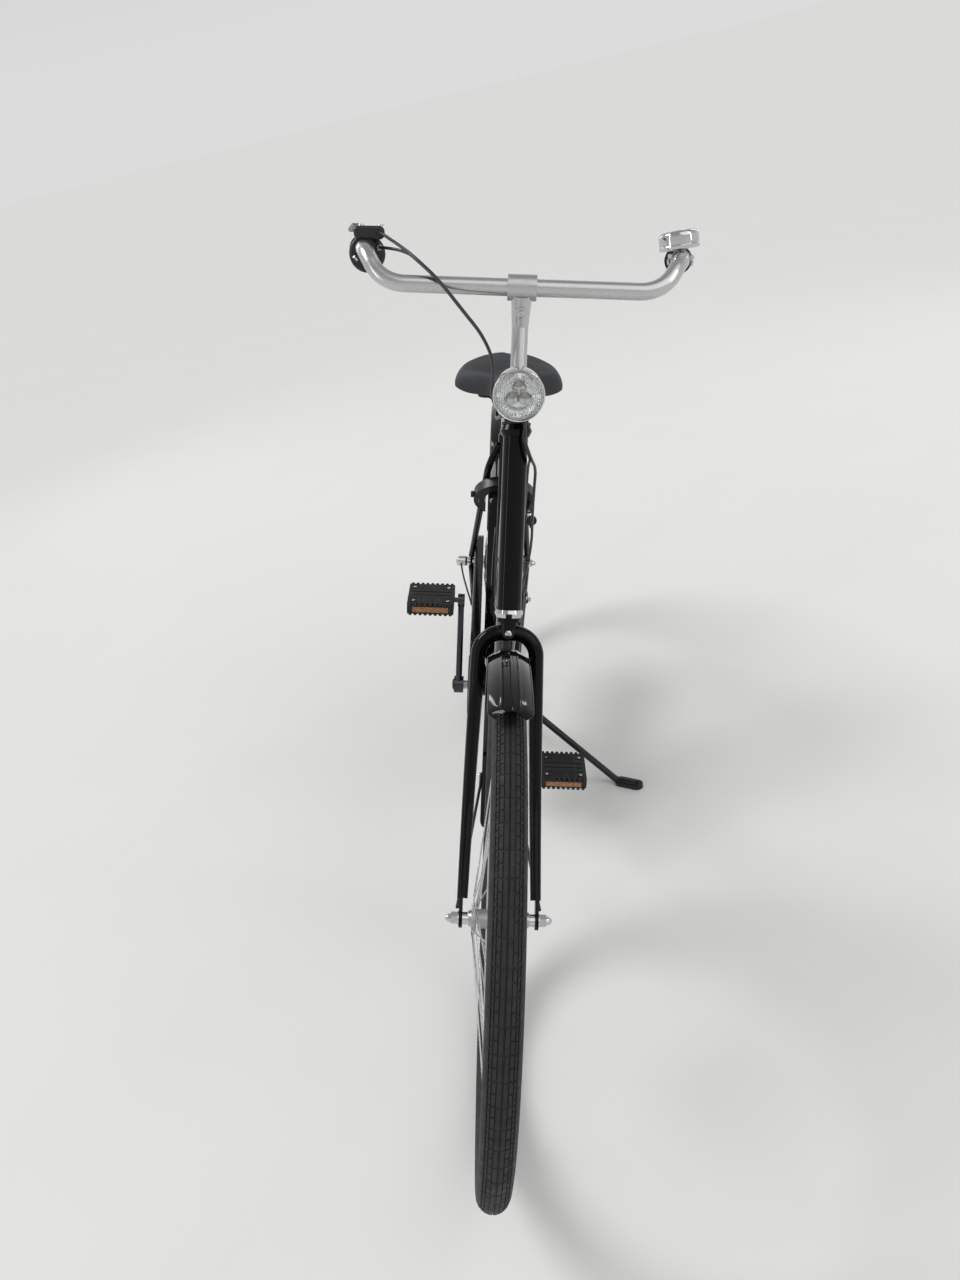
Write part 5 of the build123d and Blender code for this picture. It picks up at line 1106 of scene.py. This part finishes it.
class BICYCLE_OT_lock_key(bpy.types.Operator):
    """The ring lock's knob and rivets and its keys: one in the lock and one that hangs from it"""
    bl_idname = "bicycle.lock_key"
    bl_label = "Lock Keys"

    def execute(self, context):
        points = upright(mesh_places(frame["nodes"]["lock_key"].data))
        foot = points[points[:, 1] > points[:, 1].max() - 0.004].mean(axis=0)
        tip = points[points[:, 1] < points[:, 1].min() + 0.004].mean(axis=0)
        out = unit(tip - foot)
        length = float(np.linalg.norm(tip - foot))
        far = length * 1000
        key = Shell()
        turned(key, foot, out,
               [(0, 0), (0, 7.5), (1.6, 8), (3, 7.2), (3.6, 2.2), (far * 0.5, 2), (far * 0.5, 7),
                (far * 0.56, 7.9), (far - 1.5, 8), (far, 7), (far, 3.4), (far - 1, 0)], 40)
        bow = key.put("lock_key_bow", "black_plastic", "frame")
        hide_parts("lock_key")
        face = Shell()
        turned(face, foot + out * (length - 0.0012), out,
               [(0, 0), (0, 3.3), (1, 3.3), (1.4, 2.6), (1.4, 0)], 24)
        ring_at = foot + out * length * 0.80 - (0.0, 0.0, 0.0085)
        angle = np.linspace(0, 2 * math.pi, 41)
        loop = ring_at + 0.0075 * np.stack((0.35 * np.sin(angle), 0 * angle, np.cos(angle)), axis=-1)
        tube(face, loop, 0.0007, 8)
        face.put("lock_key_face", "chrome", "frame")
        self.hanging(ring_at + (0.007, 0.0, -0.0075))
        self.lever(foot, out)
        return {"FINISHED"}

    @staticmethod
    def lever(foot, out):
        """The closing lever's knob on the lock's right end, and three rivets on the face beside it."""
        upward = unit(np.cross((1.0, 0.0, 0.0), out))
        upward = upward * np.sign(upward[2])
        right_end = foot * (-1.0, 1.0, 1.0)
        knob = Shell()
        place = right_end + upward * 0.010 - out * 0.006 - (0.004, 0, 0)
        turned(knob, place, (-1, 0, 0),
               [(0, 0), (0, 6.2), (3, 6.2), (4.2, 5), (6, 5), (7.2, 6.6), (11.8, 6.6), (13, 5.6),
                (13.4, 0)], 28)
        knob.put("lock_lever_knob", "black_plastic", "frame")
        rivets = Shell()
        for step in (-1, 0, 1):
            turned(rivets, right_end + upward * 0.0046 * step - out * 0.0004, out,
                   [(0, 0), (0, 1.3), (0.6, 1.2), (1, 0.7), (1.1, 0)], 14)
        rivets.put("lock_rivets", "chrome", "frame")

    @staticmethod
    def hanging(top):
        """A spare key that hangs from the ring: a thick round bow and a flat blade with two steps."""
        spare = Shell()
        turned(spare, top + (0, -0.0022, -0.0085), (0, 1, 0),
               [(0, 0), (0, 9.8), (0.7, 10.8), (3.7, 10.8), (4.4, 9.8), (4.4, 0)], 36)
        turned(spare, top + (0, 0, -0.0160), (0.12, 0, -1),
               [(0, 0), (0, 5.2), (7.5, 4), (8, 0)], 24)
        spare.put("spare_key_bow", "black_plastic", "frame")
        blade = Shell()
        outline = [(-0.0024, 0.0), (0.0024, 0.0), (0.0024, 0.010), (0.0014, 0.011), (0.0022, 0.013),
                   (0.0020, 0.020), (0.0, 0.0225), (-0.0022, 0.020)]
        start = top + (0.0009, 0, -0.0235)
        rows = [[start + (x + 0.12 * drop, depth, -drop) for x, drop in outline]
                for depth in (-0.0007, 0.0007)]
        blade.add_grid(np.array(rows), close_columns=True)
        blade.faces.append(list(range(len(outline))))
        blade.faces.append([len(outline) + k for k in range(len(outline))])
        blade.put("spare_key_blade", "chrome", "frame")


class BICYCLE_OT_fasteners(bpy.types.Operator):
    """Bolts, clips and straps: stem, crown, seat clamp, crank ends, cable straps and brake arm clip"""
    bl_idname = "bicycle.fasteners"
    bl_label = "Bolts and Clips"

    def execute(self, context):
        down = steering_point(0.0) - steering_point(1.0)
        ahead = steering_point(0.0, 1.0) - steering_point(0.0)
        neck_front = down * 0.570 + ahead * 0.821
        seat_bolt = np.array((0.0110, 0.8778, 0.7455))
        # name, place, axis, width over the flats or diameter and height in millimetres, sides, look,
        # body, slot
        table = (
            ("stem_bolt_seat", steering_point(0.8198, 0.0236), neck_front, 15, 2.6, 32, "cast_aluminium",
             "steering", "stem"),
            ("stem_clamp_bolt", steering_point(0.8184, 0.0257), neck_front, 7.6, 3.4, 6, "chrome",
             "steering", "stem"),
            ("crown_bolt", steering_point(0.391, 0.0108), ahead, 8.8, 4.5, 6, "chrome", "steering", "fork"),
            ("crown_washer", steering_point(0.391, 0.0098), ahead, 16.5, 1.6, 28, "satin_black_paint",
             "steering", "fork"),
            ("seat_bolt_left", seat_bolt, (1, 0, 0), 9.5, 5.5, 6, "chrome", "frame", "seat_tube"),
            ("seat_bolt_right", seat_bolt * (-1, 1, 1), (-1, 0, 0), 9.5, 4, 20, "chrome", "frame",
             "seat_tube"),
        )
        for name, place, axis, size, height, sides, look, body, slot in table:
            shell = Shell()
            self.bolt(shell, place, axis, size, height, sides)
            shell.put(name, look, body)
        self.crank_caps()
        self.straps()
        return {"FINISHED"}

    @staticmethod
    def bolt(shell, place, axis, size, height, sides):
        """A head with a rounded edge and a recess in its top; its sizes are in millimetres."""
        radius = size / math.sqrt(3) if sides == 6 else size / 2
        edge = size / 2 * 0.98
        turned(shell, place, axis,
               [(0, 0), (0, radius), (height * 0.86, radius), (height, edge * 0.92), (height, edge * 0.45),
                (height * 0.8, edge * 0.40), (height * 0.8, 0)], sides)

    @staticmethod
    def crank_caps():
        for name, side in (("left", 1), ("right", -1)):
            caps = Shell()
            turned(caps, (side * 0.0875, BRACKET[1], BRACKET[2]), (side, 0, 0),
                   [(0, 0), (0, 10.8), (2, 10.8), (3.6, 9), (4, 4), (3.4, 0)], 36)
            caps.put(f"crank_cap_{name}", "black_plastic", "crank")

    @staticmethod
    def straps():
        """Straps round the frame and the cables, and the brake arm's clip round the left chain stay."""
        shell = Shell()
        tube_radius = 0.0159
        # the tube's middle, its direction, then where the brake and the gear cable pass it
        table = (
            ((0, 0.4256, 0.6987), (0, 0.485, -0.874), (0.0328, 0.4285, 0.6905), (0.0190, 0.4235, 0.7135)),
            ((0, 0.6200, 0.5056), (0, 0.909, -0.418), (0.0222, 0.6230, 0.4985), (0.0190, 0.6210, 0.5100)),
        )
        for middle, along, brake, gear in table:
            circles = [(middle, tube_radius), (brake, CABLE_RADIUS), (gear, CABLE_RADIUS)]
            strap(shell, middle, along, circles, 0.0045, 0.0012)
        shell.put("cable_straps", "black_plastic", "frame")
        clip = Shell()
        stay, arm = (0.0570, 0.992, 0.334), (0.0605, 0.992, 0.3206)
        strap(clip, stay, (0.03, 0.99, 0.14), [(stay, 0.0080), (arm, 0.0060)], 0.014, 0.0016)
        clip.put("brake_arm_clip", "satin_black_paint", "frame")
        arm_bolt = Shell()
        turned(arm_bolt, (0.0685, 0.992, 0.3225), (1, 0, 0),
               [(0, 0), (0, 4.5), (0.6, 5.196152), (4.4, 5.196152), (5, 4.5), (5, 0)], 6)
        arm_bolt.put("brake_arm_bolt", "chrome", "frame")


# Stage: floor, backdrop, light and camera

def add_light(name, kind, place, target, energy, **settings):
    """A lamp of a kind at a place, aimed at a target."""
    lamp = bpy.data.lights.new(name, kind)
    lamp.energy = energy
    for label, value in settings.items():
        setattr(lamp, label, value)
    light = bpy.data.objects.new(name, lamp)
    light.location = place
    light.rotation_euler = (Vector(target) - Vector(place)).to_track_quat("-Z", "Y").to_euler()
    bpy.context.scene.collection.objects.link(light)
    return light


class BICYCLE_OT_stage(bpy.types.Operator):
    """A pale floor, soft studio light and the camera at the photograph's viewing angle"""
    bl_idname = "bicycle.stage"
    bl_label = "Stage"

    def execute(self, context):
        stage = context.scene.bicycle_stage
        self.floor(stage)
        self.light(stage)
        self.camera(stage)
        return {"FINISHED"}

    @staticmethod
    def floor(stage):
        """A flat round sheet, so wide that its edge lies at the horizon: x, y = r cos a, r sin a."""
        radius = np.array((0.0, 3.0, 9.0, 30.0, 120.0))[:, None]
        angle = around(48)
        grid = np.stack((radius * np.cos(angle), radius * np.sin(angle), 0 * radius * angle), axis=-1)
        color = tuple(stage.floor_color)
        pale = Finish("pale_floor", color, 0.9).set(Specular_IOR_Level=0.1)
        dull = tuple(channel * 0.985 for channel in color)
        pale.drive("Base Color", pale.ramp(pale.noise(3.0, 6), [(0.3, dull), (0.7, color)]))
        faces = grid_faces(*grid.shape[:2], close_columns=True).tolist()
        piece = put_mesh("floor", grid.reshape(-1, 3), faces, pale.material)
        outward(piece)

    @staticmethod
    def light(stage):
        """Two soft suns under a sky that is pale at the horizon, as the floor is, and greyer overhead."""
        world = bpy.data.worlds.new("studio")
        world.use_nodes = True
        tree = world.node_tree
        tree.nodes.clear()
        up = add_node(tree, "SeparateXYZ", "Z", {"Vector": add_node(tree, "TexCoord", "Generated", {})})
        tone = add_ramp(tree, up, [(0.06, stage.horizon), (0.75, stage.overhead)])
        air = add_node(tree, "Background", "Background", {"Color": tone})
        add_node(tree, "OutputWorld", None, {"Surface": air})
        bpy.context.scene.world = world
        # name, the side the light comes from, its spread in degrees, share of the key's strength
        for name, place, spread, share in (("key_light", (-2.6, 0.9, 3.2), 24, 1.0),
                                           ("fill_light", (2.2, -1.8, 3.0), 60, 0.5)):
            add_light(name, "SUN", place, (0, 0, 0), stage.key_strength * share, angle=math.radians(spread))
        # tall narrow lamps, which draw a thin bright line down each gloss tube
        for name, place in (("strip_left", (-2.3, -1.4, 2.1)), ("strip_right", (2.4, -1.0, 2.1)),
                            ("strip_rear_left", (-2.0, 2.8, 2.1)), ("strip_rear_right", (2.2, 2.6, 2.1))):
            light = add_light(name, "AREA", place, (0, 0.5, 0.6), stage.strip_power,
                              shape="RECTANGLE", size=0.14, size_y=2.0)
            light.visible_camera = False

    @staticmethod
    def camera(stage):
        """Looks along a heading turned from straight back, pitched down and rolled about the view."""
        lens = bpy.data.cameras.new("photo_camera")
        lens.sensor_fit = "VERTICAL"
        lens.sensor_height = 36.0
        lens.lens = stage.focal_length
        camera = bpy.data.objects.new("photo_camera", lens)
        heading, pitch, roll = stage.heading, stage.pitch, stage.roll
        ahead = np.array((math.sin(heading) * math.cos(pitch), math.cos(heading) * math.cos(pitch),
                          -math.sin(pitch)))
        level = unit(np.cross(ahead, (0, 0, 1)))
        right = level * math.cos(roll) + np.cross(level, ahead) * math.sin(roll)
        upward = np.cross(right, ahead)
        turn = Matrix(np.stack((right, upward, -ahead), axis=1).tolist())
        camera.rotation_euler = turn.to_euler()
        camera.location = Vector(ORIGIN) + Vector(stage.camera_from_wheel)
        bpy.context.scene.collection.objects.link(camera)
        bpy.context.scene.camera = camera
        bpy.context.scene.view_settings.view_transform = "Standard"


# Settings, panel and registration

class BicycleSaddle(bpy.types.PropertyGroup):
    nose_width: FloatProperty(
        name="Nose Width", description="Width of the saddle's nose", default=0.048, unit="LENGTH")
    neck_width: FloatProperty(
        name="Neck Width", description="Width where the nose meets the wings", default=0.078, unit="LENGTH")
    wing_width: FloatProperty(
        name="Wing Width", description="Widest part of the saddle", default=0.212, unit="LENGTH")
    height: FloatProperty(
        name="Height", description="Height of the cushion over its pan", default=0.046, unit="LENGTH")
    crown_radius: FloatProperty(
        name="Crown Radius", description="Radius of the top across the saddle", default=0.27, unit="LENGTH")


class BicycleStage(bpy.types.PropertyGroup):
    floor_color: FloatVectorProperty(
        name="Floor Colour", description="Colour of the floor", default=(0.78, 0.78, 0.77), subtype="COLOR")
    horizon: FloatProperty(
        name="Horizon", description="Tone of the backdrop at the horizon, where 1 is white", default=0.715)
    overhead: FloatProperty(
        name="Overhead", description="Tone of the backdrop overhead", default=0.40)
    key_strength: FloatProperty(
        name="Key Strength", description="Strength of the main soft light", default=1.25)
    strip_power: FloatProperty(
        name="Strip Power", description="Power of each tall narrow lamp", default=6.0, unit="POWER")
    focal_length: FloatProperty(
        name="Focal Length", description="Lens length on a 36 mm high sensor, in millimetres",
        default=27.11)
    heading: FloatProperty(
        name="Heading", description="Turn of the view from straight back", default=math.radians(-7.998),
        subtype="ANGLE")
    pitch: FloatProperty(
        name="Pitch", description="How far the view looks down", default=math.radians(29.772),
        subtype="ANGLE")
    roll: FloatProperty(
        name="Roll", description="Turn of the camera about its view", default=math.radians(-13.814),
        subtype="ANGLE")
    camera_from_wheel: FloatVectorProperty(
        name="Camera Place", description="From the front wheel's foot to the camera",
        default=(0.28498, -0.94949, 1.33521), subtype="TRANSLATION")


class BICYCLE_OT_finishes(bpy.types.Operator):
    """Puts a worked-out finish on every piece that comes with the frame"""
    bl_idname = "bicycle.finishes"
    bl_label = "Finishes"

    def execute(self, context):
        make_finishes()
        left = set(frame["nodes"])
        for name, nodes in NODE_FINISHES.items():
            for node in nodes:
                if node not in frame["nodes"]:
                    continue
                left.discard(node)
                piece = frame["nodes"][node]
                if not piece.material_slots:
                    piece.data.materials.append(finish(name))
                for index in range(len(piece.material_slots)):
                    piece.material_slots[index].material = finish(name)
        if left:
            raise RuntimeError(f"no finish for {sorted(left)}")
        return {"FINISHED"}


OPERATORS = (
    BICYCLE_OT_stage,
    BICYCLE_OT_finishes,
    BICYCLE_OT_tyres,
    BICYCLE_OT_wheel_trim,
    BICYCLE_OT_mudguards,
    BICYCLE_OT_saddle,
    BICYCLE_OT_grips,
    BICYCLE_OT_bell,
    BICYCLE_OT_shifter,
    BICYCLE_OT_brake_lever,
    BICYCLE_OT_headlight,
    BICYCLE_OT_pedals,
    BICYCLE_OT_lock_key,
    BICYCLE_OT_cables,
    BICYCLE_OT_fasteners,
)


class BICYCLE_PT_panel(bpy.types.Panel):
    """Lists the bicycle's pieces in the sidebar"""
    bl_idname = "BICYCLE_PT_panel"
    bl_label = "Bicycle"
    bl_space_type = "VIEW_3D"
    bl_region_type = "UI"
    bl_category = "Bicycle"

    def draw(self, context):
        column = self.layout.column()
        for operator in OPERATORS:
            column.operator(operator.bl_idname)
        for group in (context.scene.bicycle_saddle, context.scene.bicycle_stage):
            for label in group.__annotations__:
                column.prop(group, label)


CLASSES = (BicycleSaddle, BicycleStage, *OPERATORS, BICYCLE_PT_panel)


def register():
    for item in CLASSES:
        bpy.utils.register_class(item)
    bpy.types.Scene.bicycle_saddle = PointerProperty(type=BicycleSaddle)
    bpy.types.Scene.bicycle_stage = PointerProperty(type=BicycleStage)


def unregister():
    del bpy.types.Scene.bicycle_stage
    del bpy.types.Scene.bicycle_saddle
    for item in reversed(CLASSES):
        bpy.utils.unregister_class(item)


def main():
    register()
    for operator in OPERATORS:
        group, name = operator.bl_idname.split(".")
        getattr(getattr(bpy.ops, group), name)()


if __name__ == "__main__":
    main()
